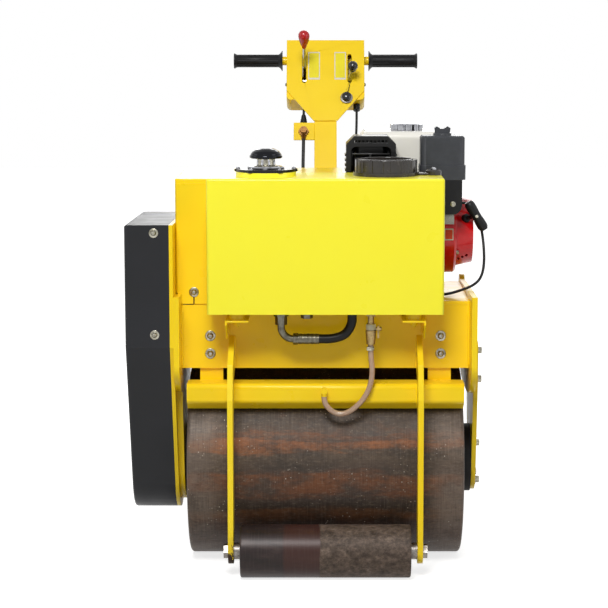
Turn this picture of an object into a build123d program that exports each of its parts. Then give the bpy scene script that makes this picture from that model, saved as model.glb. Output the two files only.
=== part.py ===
from build123d import *
import math
import os

# Walk-behind vibratory roller: one drum, a small guide roller in front, a hinged handle behind.
# Millimetres. While it is modelled, X runs across the machine with the engine side positive, Y runs
# back towards the operator, Z is up, and zero is the floor under the middle of the drum's axle.

# ---- drum ----
DRUM_R = 212.5
DRUM_WIDTH = 600.0
DRUM_WALL = 12.0
DRUM_EDGE_R = 8.0
DISC_T = 10.0            # thickness of a drum end disc
DISC_RECESS = 30.0       # depth of the disc inside the drum's end
HUB_R = 52.0
HUB_PROUD = 24.0         # the hub's height over its disc
SHAFT_R = 30.0
RUN_CLEAR = 0.3          # clearance of every part that turns in or beside another

# ---- guide roller ----
ROLLER_R = 57.0
ROLLER_WIDTH = 366.0
ROLLER_WALL = 14.0
ROLLER_EDGE_R = 4.0
ROLLER_GAP = 16.0        # between the guide roller and the drum
AXLE_R = 12.0
SPACER_R = 18.0
NUT_R = 16.0             # corner radius of a hexagon nut
NUT_T = 10.0

# ---- frame ----
PLATE_GAP = 12.0         # between the drum's end and the side plate
FRAME_HALF = DRUM_WIDTH / 2 + PLATE_GAP
FRAME_FRONT = -143.0
FRAME_BACK = 200.0
FRAME_TOP = 587.0
FRAME_LOW = 440.0
FRAME_T = 8.0
SIDE_T = 12.0
SIDE_FRONT = -224.0
SIDE_BACK = 224.0
SIDE_TOP_FRONT = 605.0
SIDE_TOP_BACK = 592.0
SIDE_LOW = 375.0
SIDE_CORNER_Z = 455.0    # where the front edge runs into the big lower corner
SIDE_CORNER_Y = 174.0    # length of that corner along the machine
LOBE_R = 92.0            # left plate's lobe around the drum's axle
HANGER_T = 10.0
HANGER_R = 72.0
HANGER_TOP = 492.0
HANGER_HALF = 116.0      # half the hanger's width at its top
ISOLATOR_R = 76.0
EYE_R = 11.0             # tie-down eye
EYE_RIM = 9.0
EYE_INSET = 10.0         # its middle, in from the side plate's back edge and down from its top

# ---- scrapers ----
SCRAPER_SHORT = 1.0      # each end of a scraper inside the drum's end
SCRAPER_WIDTH = DRUM_WIDTH - 2 * SCRAPER_SHORT
SCRAPER_FACE = -190.0
SCRAPER_TOP = 413.0
SCRAPER_LOW = 374.0
SCRAPER_T = 6.0
SCRAPER_GAP = 4.0        # between the blade's tip and the drum
TAB_WIDTH = 50.0
TAB_X = 248.0
TAB_T = 8.0

# ---- guide roller's arms ----
ARM_T = 12.0
ARM_X = 203.0            # middle of each arm plate
ARM_EYE_R = 27.0
ARM_BACK = -219.0        # back edge, ahead of the drum
ARM_TOP = 513.0

# ---- front tank ----
TANK_HALF = 250.0
TANK_FRONT = -262.0
TANK_BACK = -78.0
TANK_LOW = 574.0
TANK_TOP = 861.0
TANK_WALL = 4.0
TANK_BEND_R = 5.0
BRACKET_LEG = 50.0
BRACKET_T = 4.0
BRACKET_FRONT = -250.0
PAD_T = 15.0
FILLER_X = 129.5
FILLER_Y = -157.0
FILLER_R = 66.5
FILLER_H = 34.0
BREATHER_X = -127.0
BREATHER_Y = -168.0
BREATHER_R = 67.5
BOSS_TOP = 9.0           # heights over the tank of the breather's boss, clamped disc, flange and neck
CLAMP_TOP = 15.0
FLANGE_TOP = 22.0
NECK_TOP = 39.0
CAP_R = 33.5             # the breather's mushroom cap
CAP_H = 21.0

# ---- fittings under the tank ----
FITTING_Y = -200.0
ELBOW_X = -95.0
PIPE_R = 8.0
PIPE_Z = 513.0           # height of the suction line's level stretch
FERRULE_X = -59.0
FERRULE_L = 45.0
HOSE_R = 10.0
HOSE_END_X = 57.0
PLUG_X = -40.0
TAP_X = 97.0
TAP_R = 9.0
TAP_LOW = 500.0
SPIGOT_X = -3.0          # the elbow on the front scraper that the water hose feeds
SPIGOT_Y = -203.0
SPIGOT_Z = 400.0
SPIGOT_R = 7.0
NIPPLE_L = 12.0
WATER_HOSE_R = 6.0
STOP_CABLE_R = 3.0
TRAVEL_CABLE_R = 4.0
THROTTLE_CABLE_R = 3.0

# ---- hood over the pump drive ----
HOOD_RIGHT = 38.0
HOOD_TOP = 852.0
HOOD_BACK = 193.0
HOOD_WALL = 3.0
HOOD_BEND_R = 6.0
TANK_CLEAR = 2.0         # air between the tank and the hood
CHEEK_RIGHT = -252.5

# ---- belt cover ----
COVER_OUT = -427.0       # outermost face
COVER_IN = -332.0
COVER_TOP_FRONT = 760.0
COVER_TOP_BACK = 748.0
COVER_BACK = 216.0
COVER_LOW_EDGE = 497.0   # where the straight front edge ends
COVER_LOBE_R = 110.0
COVER_WALL = 3.0
COVER_EDGE_R = 6.0

# ---- engine ----
CRANK_Y = 85.0
CRANK_Z = 718.0
ENGINE_FOOT = 605.0
RAIL_H = ENGINE_FOOT - FRAME_TOP
CASE_LEFT = 62.0
CASE_RIGHT = 222.0
CASE_R = 78.0
FOOT_LENGTH = 168.0
FOOT_T = 14.0
RAIL_Y = 62.0            # each rail's middle, from the crank
RAIL_WIDTH = 44.0
RAIL_PAST = 10.0         # each rail runs this far past the crankcase
CYLINDER_TILT = 18.0     # how far the cylinder's outer end rises
CYLINDER_Y = CRANK_Y - 84
CYLINDER_Z = CRANK_Z + 22
CYLINDER_BORE = 30.0     # half the height of the barrel between the fins
FIN_HALF = 46.0
FIN_T = 4.0
FIN_PITCH = 10.0
FINS = 6
HEAD_T = 30.0
FAN_RIGHT = 292.0
FAN_R = 95.0
SHROUD_FRONT = 2.0       # front of the shroud over the cylinder
SHROUD_TOP = 836.0
RECOIL_R = 80.0
RECOIL_T = 38.0
RECOIL_TAPER = 12.0
RECOIL_SLOTS = 10        # cooling slots in the recoil starter's face
VENT_R = 3.0             # the small round vents low in its front
VENT_Z = 663.0
SHROUD_WALL = 2.5
TANK2_LEFT = 79.0        # the fuel tank
TANK2_WIDTH = 206.0
TANK2_FRONT = 24.0
TANK2_BACK = 190.0
TANK2_LOW = 846.0
TANK2_TOP = 944.0
CAP2_R = 37.0
CAP2_Y = 80.0
CAP2_TOP = 958.0
GUARD_LEFT = 45.0        # the silencer's guard
GUARD_WIDTH = 109.0
GUARD_FRONT = -60.0
GUARD_BACK = 20.0
GUARD_LOW = 806.0
GUARD_TOP = 939.0
GUARD_CORNER = 18.0
GUARD_WALL = 2.0
GUARD_FRAME = 11.0       # rim around the window in the guard's front
GUARD_BROW = 24.0        # height of the band over that window
BROW_SLOTS = 9
BROW_SLOT = 5.0
LOUVRES = 7              # down each side of the guard
LOUVRE_H = 5.0
LOUVRE_PITCH = 11.0
SILENCER_IN = 20.0       # air between the silencer and the guard's sides
BARREL_R = 26.0          # the silencer's rolled front
CLEANER_LEFT = 206.0     # the air cleaner
CLEANER_WIDTH = 102.0
CLEANER_FRONT = -50.0
CLEANER_BACK = 20.0
CLEANER_LOW = 842.0
CLEANER_SEAM = 874.0     # where its cover meets the wider case
CLEANER_TOP = 938.0
CLEANER_LIP = 2.5
CLEANER_CORNER = 14.0
WING_H = 20.0            # the cover's wing nut
ELBOW_LEFT = 240.0       # the intake elbow under the cleaner
ELBOW_RIGHT = 300.0
ELBOW_LOW = 766.0
ELBOW_BEND_R = 20.0
INTAKE_Y = -30.0
INTAKE_R = 15.0
BOWL_LOW = 744.0
EXHAUST_R = 15.0
EXHAUST_Y = -12.0

# ---- handle ----
HANDLE_ANGLE = 62.1      # slope of the arm over the floor
PIVOT_Y = 270.0
PIVOT_Z = 580.0
PIVOT_R = 10.0
HANDLE_W = 54.0
HANDLE_D = 40.0
HANDLE_WALL = 4.0
EAR_T = 8.0
EAR_R = 24.0
EAR_GAP = 1.0            # between an ear and the arm
EAR_FOOT = 60.0          # height of the ears where they meet the frame
EAR_BASE_H = 90.0        # the plate both ears are welded to
EAR_BASE_SIDE = 20.0
EAR_BASE_T = 6.0
FACE_START = 404.0       # the console's lower end, along the arm from the pivot
FACE_LENGTH = 218.0
FACE_W = 190.0
FACE_NECK = 57.0
FACE_SHOULDER = 82.0     # height of the funnel-shaped part
FACE_T = 4.0
BOX_SKIRT = 58.0         # how much of the face stands below the box
BOX_D = 60.0
BOX_WALL = 3.0
BOX_CORNER = 12.0
BAR_R = 11.0
BAR_ALONG = 584.0        # the handlebar's place along the arm
BAR_DEPTH = -14.0
GRIP_R = 16.5
GRIP_IN = 106.0
GRIP_OUT = 226.0
GRIP_RIM = 6.0           # length of the flanges at a grip's ends
FLANGE_R = 24.8
GRIP_END_R = 18.7
INLET_TOP = 84.0         # where the cables enter the arm, up from the pivot
INLET_L = 26.0
INLET_W = 18.0
THROTTLE_CABLE_X = 76.0
BRACKET_LOW = 355.0      # the travel cable's bracket, up from the pivot
BRACKET_H = 46.0
BRACKET_W = 50.0
CABLE_X = -53.0
BAR_FIT = 0.2            # between the handlebar and what sits on it
SLOT_W = 10.0
TRAVEL_X = -52.0
TRAVEL_ALONG = 530.0     # the travel lever's pivot
TRAVEL_ROD = 112.0       # from the pivot to the knob
THROTTLE_X = 59.0
THROTTLE_ALONG = 497.0
THROTTLE_ROD = 92.0
THROTTLE_SET = 7.0       # how far the throttle lever is joggled outwards
LEVER_R = 4.0
LEVER_HUB_R = 9.0
KNOB_L = 52.0
KNOB_R = 14.0
KNOB_FOOT_R = 5.0
BALL_R = 12.5
PUSH_X = 51.0
PUSH_ALONG = 464.0
SLOT_LOW = 102.0         # a lever slot's ends, up the face from its lower end
SLOT_HIGH = 180.0
LEVER_TILT = 21.0        # both levers lean this far up the handle
LEVER_DEPTH = -20.0      # their pivots' height over the arm's middle


def side(x):
    """A plane across the machine at x: its own axes are Y and Z."""
    return Plane.YZ.offset(x)


def facing(y):
    """An upright plane at y that looks forward: its own axes are X and Z."""
    return Plane.XZ.offset(-y)


def level(z):
    return Plane.XY.offset(z)


def on_handle(height):
    """A plane along the handle: X, then up the arm from the pivot, height over the arm's middle."""
    slope = math.radians(HANDLE_ANGLE)
    out = Vector(0, -math.sin(slope), math.cos(slope))
    return Plane(origin=Vector(0, PIVOT_Y, PIVOT_Z) + out * height, x_dir=(1, 0, 0), z_dir=out)


def bar_plane(x):
    """A plane across the handlebar at x: its own axes are the handle's depth, reversed, and its length."""
    middle = on_handle(BAR_DEPTH)
    return Plane(origin=middle.origin + Vector(x, 0, 0), x_dir=-middle.z_dir, z_dir=(1, 0, 0))


pieces = []


def keep(part, name):
    part.label = name
    pieces.append(part)


def span(low, high):
    """Centre and length of a stretch, for rectangles given by their edges."""
    return (low + high) / 2, high - low


def lathe(plane, profile):
    """Stacks cones and cylinders on a plane: a profile of radius and height, from its foot up."""
    for (low_r, low), (high_r, high) in zip(profile, profile[1:]):
        with BuildSketch(plane.offset(low)) as lower:
            Circle(low_r)
        with BuildSketch(plane.offset(high)) as upper:
            Circle(high_r)
        loft([lower.sketch.face(), upper.sketch.face()])


def dome(radius, rise, foot, steps=5):
    """Profile of a rounded top for lathe, that starts at the height foot."""
    turns = [math.pi / 2 * i / (steps + 0.5) for i in range(steps + 1)]
    return [(radius * math.cos(turn), foot + rise * math.sin(turn)) for turn in turns]


# ================= drum =================
DRUM_HALF = DRUM_WIDTH / 2
DISC_OUT = DRUM_HALF - DISC_RECESS
HUB_OUT = DISC_OUT + HUB_PROUD

with BuildPart() as drum:
    with BuildSketch(side(-DRUM_HALF)):
        with Locations((0, DRUM_R)):
            Circle(DRUM_R)
            Circle(DRUM_R - DRUM_WALL, mode=Mode.SUBTRACT)
    extrude(amount=DRUM_WIDTH)
    fillet(drum.edges().filter_by(GeomType.CIRCLE).sort_by(SortBy.RADIUS)[-2:], DRUM_EDGE_R)
    for end in (-1, 1):
        with BuildSketch(side(end * DISC_OUT)):
            with Locations((0, DRUM_R)):
                Circle(DRUM_R - DRUM_WALL)
        extrude(amount=-end * DISC_T)
        with BuildSketch(side(end * HUB_OUT)):
            with Locations((0, DRUM_R)):
                Circle(HUB_R)
        extrude(amount=-end * (HUB_PROUD + 2 * DISC_T))
    with BuildSketch(side(-DRUM_HALF)):
        with Locations((0, DRUM_R)):
            Circle(SHAFT_R + RUN_CLEAR)
    extrude(amount=DRUM_WIDTH, mode=Mode.SUBTRACT)
keep(drum.part, "drum")

# The shaft ends on the isolators' inner faces, a running clearance outside the drum's ends.
ISOLATOR_IN = DRUM_HALF + 2 * RUN_CLEAR
with BuildPart() as drum_shaft:
    with BuildSketch(side(-ISOLATOR_IN)):
        with Locations((0, DRUM_R)):
            Circle(SHAFT_R)
    extrude(amount=2 * ISOLATOR_IN)
keep(drum_shaft.part, "drum_shaft")

# ================= guide roller and its arms =================
AXIS_Y = -math.sqrt((DRUM_R + ROLLER_R + ROLLER_GAP) ** 2 - (DRUM_R - ROLLER_R) ** 2)
ROLLER_HALF = ROLLER_WIDTH / 2
ARM_IN = ARM_X - ARM_T / 2

with BuildPart() as guide_roller:
    with BuildSketch(side(-ROLLER_HALF)):
        with Locations((AXIS_Y, ROLLER_R)):
            Circle(ROLLER_R)
    extrude(amount=ROLLER_WIDTH)
    fillet(guide_roller.edges().filter_by(GeomType.CIRCLE), ROLLER_EDGE_R)
    with BuildSketch(side(-ROLLER_HALF + ROLLER_WALL)):
        with Locations((AXIS_Y, ROLLER_R)):
            Circle(ROLLER_R - ROLLER_WALL)
    extrude(amount=ROLLER_WIDTH - 2 * ROLLER_WALL, mode=Mode.SUBTRACT)
    with BuildSketch(side(-ROLLER_HALF)):
        with Locations((AXIS_Y, ROLLER_R)):
            Circle(AXLE_R + RUN_CLEAR)
    extrude(amount=ROLLER_WIDTH, mode=Mode.SUBTRACT)
keep(guide_roller.part, "guide_roller")

with BuildPart() as guide_axle:
    with BuildSketch(side(-ARM_X - ARM_T / 2 - NUT_T)):
        with Locations((AXIS_Y, ROLLER_R)):
            Circle(AXLE_R)
    extrude(amount=2 * (ARM_X + ARM_T / 2 + NUT_T))
    for end in (-1, 1):
        with BuildSketch(side(end * (ROLLER_HALF + RUN_CLEAR))):
            with Locations((AXIS_Y, ROLLER_R)):
                Circle(SPACER_R)
        extrude(amount=end * (ARM_IN - ROLLER_HALF - RUN_CLEAR))
        with BuildSketch(side(end * (ARM_X + ARM_T / 2))):
            with Locations((AXIS_Y, ROLLER_R)):
                RegularPolygon(NUT_R, 6)
        extrude(amount=end * NUT_T)
keep(guide_axle.part, "guide_axle")

# Outline of an arm, from its seat on the front plate down behind and up in front: Y, Z.
ARM_OUTLINE = [
    (FRAME_FRONT, ARM_TOP),
    (FRAME_FRONT, FRAME_LOW + 2),
    (SCRAPER_FACE - 7, SCRAPER_TOP + 10),
    (ARM_BACK, 290),
    (ARM_BACK, 110),
    (AXIS_Y - ARM_EYE_R, 130),
    (AXIS_Y - ARM_EYE_R + 4, 390),
    (-240, 462),
]
for name, end in (("arm_left", -1), ("arm_right", 1)):
    with BuildPart() as arm:
        with BuildSketch(side(end * ARM_X - ARM_T / 2)):
            Polygon(*ARM_OUTLINE, align=None)
            with BuildSketch(mode=Mode.ADD):
                with Locations((AXIS_Y, ROLLER_R)):
                    Circle(ARM_EYE_R)
                Polygon((ARM_BACK, 110), (AXIS_Y - ARM_EYE_R, 130), (ARM_BACK, 130), align=None)
                make_hull()
            with Locations((AXIS_Y, ROLLER_R)):
                Circle(AXLE_R + RUN_CLEAR, mode=Mode.SUBTRACT)
        extrude(amount=ARM_T)
    keep(arm.part, name)

# ================= frame =================
with BuildPart() as frame_deck:
    y_mid, y_len = span(FRAME_FRONT, FRAME_BACK)
    with BuildSketch(level(FRAME_TOP)):
        with Locations((0, y_mid)):
            Rectangle(2 * FRAME_HALF, y_len)
    extrude(amount=-FRAME_T)
keep(frame_deck.part, "frame_deck")

for name, outer, inward in (("frame_front_plate", FRAME_FRONT, -1), ("frame_rear_plate", FRAME_BACK, 1)):
    with BuildPart() as plate:
        z_mid, z_len = span(FRAME_LOW, FRAME_TOP - FRAME_T)
        with BuildSketch(facing(outer)):
            with Locations((0, z_mid)):
                Rectangle(2 * FRAME_HALF, z_len)
        extrude(amount=inward * FRAME_T)
    keep(plate.part, name)


def side_outline():
    """Closed outline of a side plate, its big lower corners as elliptical arcs."""
    rise = SIDE_CORNER_Z - SIDE_LOW
    with BuildLine() as edge:
        Polyline((SIDE_FRONT, SIDE_CORNER_Z), (SIDE_FRONT, SIDE_TOP_FRONT), (SIDE_BACK, SIDE_TOP_BACK),
                 (SIDE_BACK, SIDE_CORNER_Z))
        EllipticalCenterArc((SIDE_BACK - SIDE_CORNER_Y, SIDE_CORNER_Z), SIDE_CORNER_Y, rise,
                            start_angle=270, arc_size=90)
        Line((SIDE_BACK - SIDE_CORNER_Y, SIDE_LOW), (SIDE_FRONT + SIDE_CORNER_Y, SIDE_LOW))
        EllipticalCenterArc((SIDE_FRONT + SIDE_CORNER_Y, SIDE_CORNER_Z), SIDE_CORNER_Y, rise,
                            start_angle=180, arc_size=90)
    make_face(edge.edges())


EYE_Y = SIDE_BACK - EYE_INSET
EYE_Z = SIDE_TOP_BACK - EYE_INSET
with BuildPart() as side_plate_right:
    with BuildSketch(side(FRAME_HALF)):
        side_outline()
        with Locations((EYE_Y, EYE_Z)):
            Circle(EYE_R + EYE_RIM)
            Circle(EYE_R, mode=Mode.SUBTRACT)
    extrude(amount=SIDE_T)
keep(side_plate_right.part, "side_plate_right")

with BuildPart() as side_plate_left:
    with BuildSketch(side(-FRAME_HALF - SIDE_T)):
        side_outline()
        with BuildSketch(mode=Mode.ADD):
            with Locations((0, DRUM_R)):
                Circle(LOBE_R)
            with Locations((0, SIDE_LOW + 10)):
                Rectangle(2 * HANGER_HALF + 40, 10)
            make_hull()
    extrude(amount=SIDE_T)
keep(side_plate_left.part, "side_plate_left")

with BuildPart() as hanger_right:
    with BuildSketch(side(FRAME_HALF + SIDE_T)):
        with Locations((0, DRUM_R)):
            Circle(HANGER_R)
        z_mid, z_len = span(SIDE_LOW + 20, HANGER_TOP)
        with Locations((0, z_mid)):
            Rectangle(2 * HANGER_HALF, z_len)
        make_hull()
    extrude(amount=HANGER_T)
    fillet(hanger_right.edges().filter_by(Axis.X).group_by(Axis.Z)[-1], 16)
keep(hanger_right.part, "hanger_right")

# Rubber isolators between the drum's ends and the plates that carry the shaft.
with BuildPart() as isolators:
    for end, out in ((-1, FRAME_HALF), (1, FRAME_HALF + SIDE_T)):
        with BuildSketch(side(end * ISOLATOR_IN)):
            with Locations((0, DRUM_R)):
                Circle(ISOLATOR_R)
        extrude(amount=end * (out - ISOLATOR_IN))
keep(isolators.part, "isolators")

# ================= scrapers =================
TIP_R = DRUM_R + SCRAPER_GAP
TIP_Z = 357.0
TIP_Y = -math.sqrt(TIP_R ** 2 - (TIP_Z - DRUM_R) ** 2)


def scraper(section, tab_back, front):
    """A bent blade over the drum's shoulder, hung from a frame plate by two upright tabs."""
    with BuildLine() as middle:
        FilletPolyline(*section, radius=8)
    with BuildPart() as bar:
        with BuildSketch(side(-SCRAPER_WIDTH / 2)):
            trace(middle.line, line_width=SCRAPER_T)
        extrude(amount=SCRAPER_WIDTH)
        for x in (-TAB_X, TAB_X):
            with BuildSketch(facing(tab_back)):
                z_mid, z_len = span(SCRAPER_TOP - SCRAPER_T / 2, FRAME_TOP - 6 * FRAME_T)
                with Locations((x, z_mid)):
                    Rectangle(TAB_WIDTH, z_len)
            extrude(amount=front * TAB_T)
    return bar.part


# The front blade reaches out from its tabs and down in front of the drum: Y, Z of its sheet's middle.
FRONT_BLADE = [(FRAME_FRONT + FRAME_T, SCRAPER_TOP - SCRAPER_T / 2), (SCRAPER_FACE, SCRAPER_TOP - SCRAPER_T / 2),
               (SCRAPER_FACE, SCRAPER_LOW), (TIP_Y, TIP_Z)]
REAR_BLADE_Y = FRAME_BACK - FRAME_T - TAB_T / 2
REAR_BLADE = [(REAR_BLADE_Y, SCRAPER_TOP), (REAR_BLADE_Y, SCRAPER_LOW), (-TIP_Y, TIP_Z)]
with BuildPart() as scraper_front:
    add(scraper(FRONT_BLADE, FRAME_FRONT + FRAME_T + TAB_T, 1))
    # Elbow of the sprinkler's feed, with its nipple pointing down.
    with BuildSketch(facing(SCRAPER_FACE)):
        with Locations((SPIGOT_X, SPIGOT_Z)):
            Circle(SPIGOT_R)
    extrude(amount=SCRAPER_T / 2 + 16)
    with BuildSketch(level(SPIGOT_Z)):
        with Locations((SPIGOT_X, SPIGOT_Y)):
            Circle(WATER_HOSE_R)
    extrude(amount=-NIPPLE_L)
keep(scraper_front.part, "scraper_front")
keep(scraper(REAR_BLADE, FRAME_BACK - FRAME_T, 1), "scraper_rear")

# ================= front tank =================
with BuildPart() as front_tank:
    with BuildSketch(side(-TANK_HALF)):
        Polygon((TANK_FRONT, TANK_LOW), (FRAME_FRONT - BRACKET_T, TANK_LOW),
                (FRAME_FRONT - BRACKET_T, FRAME_TOP), (TANK_BACK, FRAME_TOP), (TANK_BACK, TANK_TOP),
                (TANK_FRONT, TANK_TOP), align=None)
    extrude(amount=2 * TANK_HALF)
    fillet(front_tank.edges().filter_by(Axis.Z).group_by(Axis.Y)[0], TANK_BEND_R)
    fillet(front_tank.faces().sort_by(Axis.Z)[-1].edges().filter_by(Axis.X), TANK_BEND_R)
    with BuildSketch(side(-TANK_HALF + TANK_WALL)):
        Polygon((TANK_FRONT + TANK_WALL, TANK_LOW + TANK_WALL),
                (FRAME_FRONT - BRACKET_T - TANK_WALL, TANK_LOW + TANK_WALL),
                (FRAME_FRONT - BRACKET_T - TANK_WALL, FRAME_TOP + TANK_WALL),
                (TANK_BACK - TANK_WALL, FRAME_TOP + TANK_WALL), (TANK_BACK - TANK_WALL, TANK_TOP - TANK_WALL),
                (TANK_FRONT + TANK_WALL, TANK_TOP - TANK_WALL), align=None)
    extrude(amount=2 * (TANK_HALF - TANK_WALL), mode=Mode.SUBTRACT)
    with BuildSketch(level(TANK_TOP)):
        with Locations((BREATHER_X, BREATHER_Y)):
            Circle(BREATHER_R - 3)
    extrude(amount=BOSS_TOP)
    with BuildSketch(level(TANK_TOP - 2 * TANK_WALL)):
        with Locations((FILLER_X, FILLER_Y)):
            Circle(FILLER_R - 16)
        with Locations((BREATHER_X, BREATHER_Y)):
            Circle(BREATHER_R - 30)
    extrude(amount=2 * TANK_WALL + BOSS_TOP, mode=Mode.SUBTRACT)
keep(front_tank.part, "front_tank")

# An angle under each end of the tank, bolted to the front plate, with its side leg cut back in front.
BRACKET_OUT = ARM_X + ARM_T / 2 + BRACKET_T
LEG_TOP = TANK_LOW - PAD_T
LEG_LOW = LEG_TOP - BRACKET_LEG + 6
with BuildPart() as tank_brackets:
    y_mid, y_len = span(BRACKET_FRONT, FRAME_FRONT)
    for end in (-1, 1):
        with BuildSketch(level(LEG_TOP)):
            with Locations((end * (BRACKET_OUT - BRACKET_LEG / 2), y_mid)):
                Rectangle(BRACKET_LEG, y_len)
        extrude(amount=-BRACKET_T)
        with BuildSketch(side(end * BRACKET_OUT)):
            Polygon((BRACKET_FRONT, LEG_TOP), (BRACKET_FRONT, LEG_TOP - 10), (BRACKET_FRONT + 40, LEG_LOW),
                    (FRAME_FRONT, LEG_LOW), (FRAME_FRONT, LEG_TOP), align=None)
        extrude(amount=-end * BRACKET_T)
keep(tank_brackets.part, "tank_brackets")

with BuildPart() as tank_pads:
    for end in (-1, 1):
        for y in (BRACKET_FRONT + 24, FRAME_FRONT - 24):
            with BuildSketch(level(TANK_LOW)):
                with Locations((end * (BRACKET_OUT - BRACKET_LEG / 2), y)):
                    Circle(16)
            extrude(amount=-PAD_T)
keep(tank_pads.part, "tank_pads")

with BuildPart() as filler_cap:
    with BuildSketch(level(TANK_TOP)):
        with Locations((FILLER_X, FILLER_Y)):
            Circle(FILLER_R + 4)
    extrude(amount=8)
    with BuildSketch(level(TANK_TOP + 8)):
        with Locations((FILLER_X, FILLER_Y)):
            Circle(FILLER_R)
            with PolarLocations(FILLER_R + 4, 18):
                Circle(6, mode=Mode.SUBTRACT)
    extrude(amount=FILLER_H - 8)
    with BuildSketch(level(TANK_TOP + FILLER_H)):
        with Locations((FILLER_X, FILLER_Y)):
            Circle(FILLER_R - 14)
    extrude(amount=-8, mode=Mode.SUBTRACT)
keep(filler_cap.part, "filler_cap")

# The breather: a disc clamped on the tank's boss, then a flange with its neck, then the mushroom cap.
BREATHER = Location((BREATHER_X, BREATHER_Y, TANK_TOP))
CLAMP_LUGS = 6
with BuildPart() as breather_clamp:
    with BuildSketch(level(TANK_TOP + BOSS_TOP)):
        with Locations((BREATHER_X, BREATHER_Y)):
            Circle(BREATHER_R - 4)
            with PolarLocations(BREATHER_R - 8, CLAMP_LUGS):
                Circle(8)
    extrude(amount=CLAMP_TOP - BOSS_TOP)
keep(breather_clamp.part, "breather_clamp")

with BuildPart() as breather_neck:
    lathe(Plane(BREATHER), [(CAP_R, CLAMP_TOP), (CAP_R, FLANGE_TOP), (0.6 * CAP_R, FLANGE_TOP + 2),
                            (0.55 * CAP_R, NECK_TOP)])
keep(breather_neck.part, "breather_neck")

with BuildPart() as breather_cap:
    lathe(Plane(BREATHER), [(CAP_R - 3, NECK_TOP), (CAP_R, NECK_TOP + 3)] + dome(CAP_R, CAP_H - 3, NECK_TOP + 3)[1:])
keep(breather_cap.part, "breather_cap")

# ================= hood =================
HOOD_LEFT = -FRAME_HALF - SIDE_T
HOOD_FRONT = TANK_BACK + TANK_CLEAR


def hood_plan(inset):
    """L-shaped plan of the hood: a cheek stands beside the tank, the rest lies behind it."""
    Polygon((HOOD_LEFT + inset, FRAME_FRONT + inset), (CHEEK_RIGHT - inset, FRAME_FRONT + inset),
            (CHEEK_RIGHT - inset, HOOD_FRONT + inset), (HOOD_RIGHT - inset, HOOD_FRONT + inset),
            (HOOD_RIGHT - inset, HOOD_BACK - inset), (HOOD_LEFT + inset, HOOD_BACK - inset), align=None)


with BuildPart() as hood:
    with BuildSketch(level(FRAME_TOP)):
        hood_plan(0)
    extrude(amount=HOOD_TOP - FRAME_TOP)
    fillet(hood.edges().filter_by(Axis.Z).group_by(Axis.X)[0] + hood.edges().filter_by(Axis.Z).group_by(Axis.X)[-1],
           HOOD_BEND_R)
    fillet(hood.faces().sort_by(Axis.Z)[-1].edges().filter_by(Axis.X), HOOD_WALL)
    with BuildSketch(level(FRAME_TOP)):
        hood_plan(HOOD_WALL)
    extrude(amount=HOOD_TOP - FRAME_TOP - HOOD_WALL, mode=Mode.SUBTRACT)
    # The left wall stands on the side plate, so it stops at that plate's top.
    y_mid, y_len = span(FRAME_FRONT - 10, HOOD_BACK + 10)
    with BuildSketch(level(FRAME_TOP)):
        with Locations((-FRAME_HALF - SIDE_T, y_mid)):
            Rectangle(2 * SIDE_T, y_len)
    extrude(amount=SIDE_TOP_FRONT - FRAME_TOP, mode=Mode.SUBTRACT)
keep(hood.part, "hood")

# ================= belt cover =================


def cover_outline(inset):
    with Locations((0, DRUM_R)):
        Circle(COVER_LOBE_R - inset)
    Polygon((SIDE_FRONT + inset, COVER_LOW_EDGE), (SIDE_FRONT + inset, COVER_TOP_FRONT - inset),
            (COVER_BACK - inset, COVER_TOP_BACK - inset), (COVER_BACK - inset, COVER_LOW_EDGE), align=None)
    make_hull()


with BuildPart() as belt_cover:
    with BuildSketch(side(COVER_IN)):
        cover_outline(0)
    extrude(amount=COVER_OUT - COVER_IN)
    fillet(belt_cover.faces().sort_by(Axis.X)[0].edges(), COVER_EDGE_R)
    with BuildSketch(side(COVER_IN)):
        cover_outline(COVER_WALL)
    extrude(amount=COVER_OUT - COVER_IN + COVER_WALL, mode=Mode.SUBTRACT)
keep(belt_cover.part, "belt_cover")

with BuildPart() as cover_plate:
    with BuildSketch(side(COVER_IN)):
        cover_outline(0)
    extrude(amount=HOOD_LEFT - COVER_IN)
keep(cover_plate.part, "cover_plate")

# ================= engine =================
with BuildPart() as engine_rails:
    for y in (CRANK_Y - RAIL_Y, CRANK_Y + RAIL_Y):
        x_mid, x_len = span(HOOD_RIGHT + 4, CASE_RIGHT + RAIL_PAST)
        with BuildSketch(level(FRAME_TOP)):
            with Locations((x_mid, y)):
                Rectangle(x_len, RAIL_WIDTH)
        extrude(amount=RAIL_H)
keep(engine_rails.part, "engine_rails")

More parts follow.
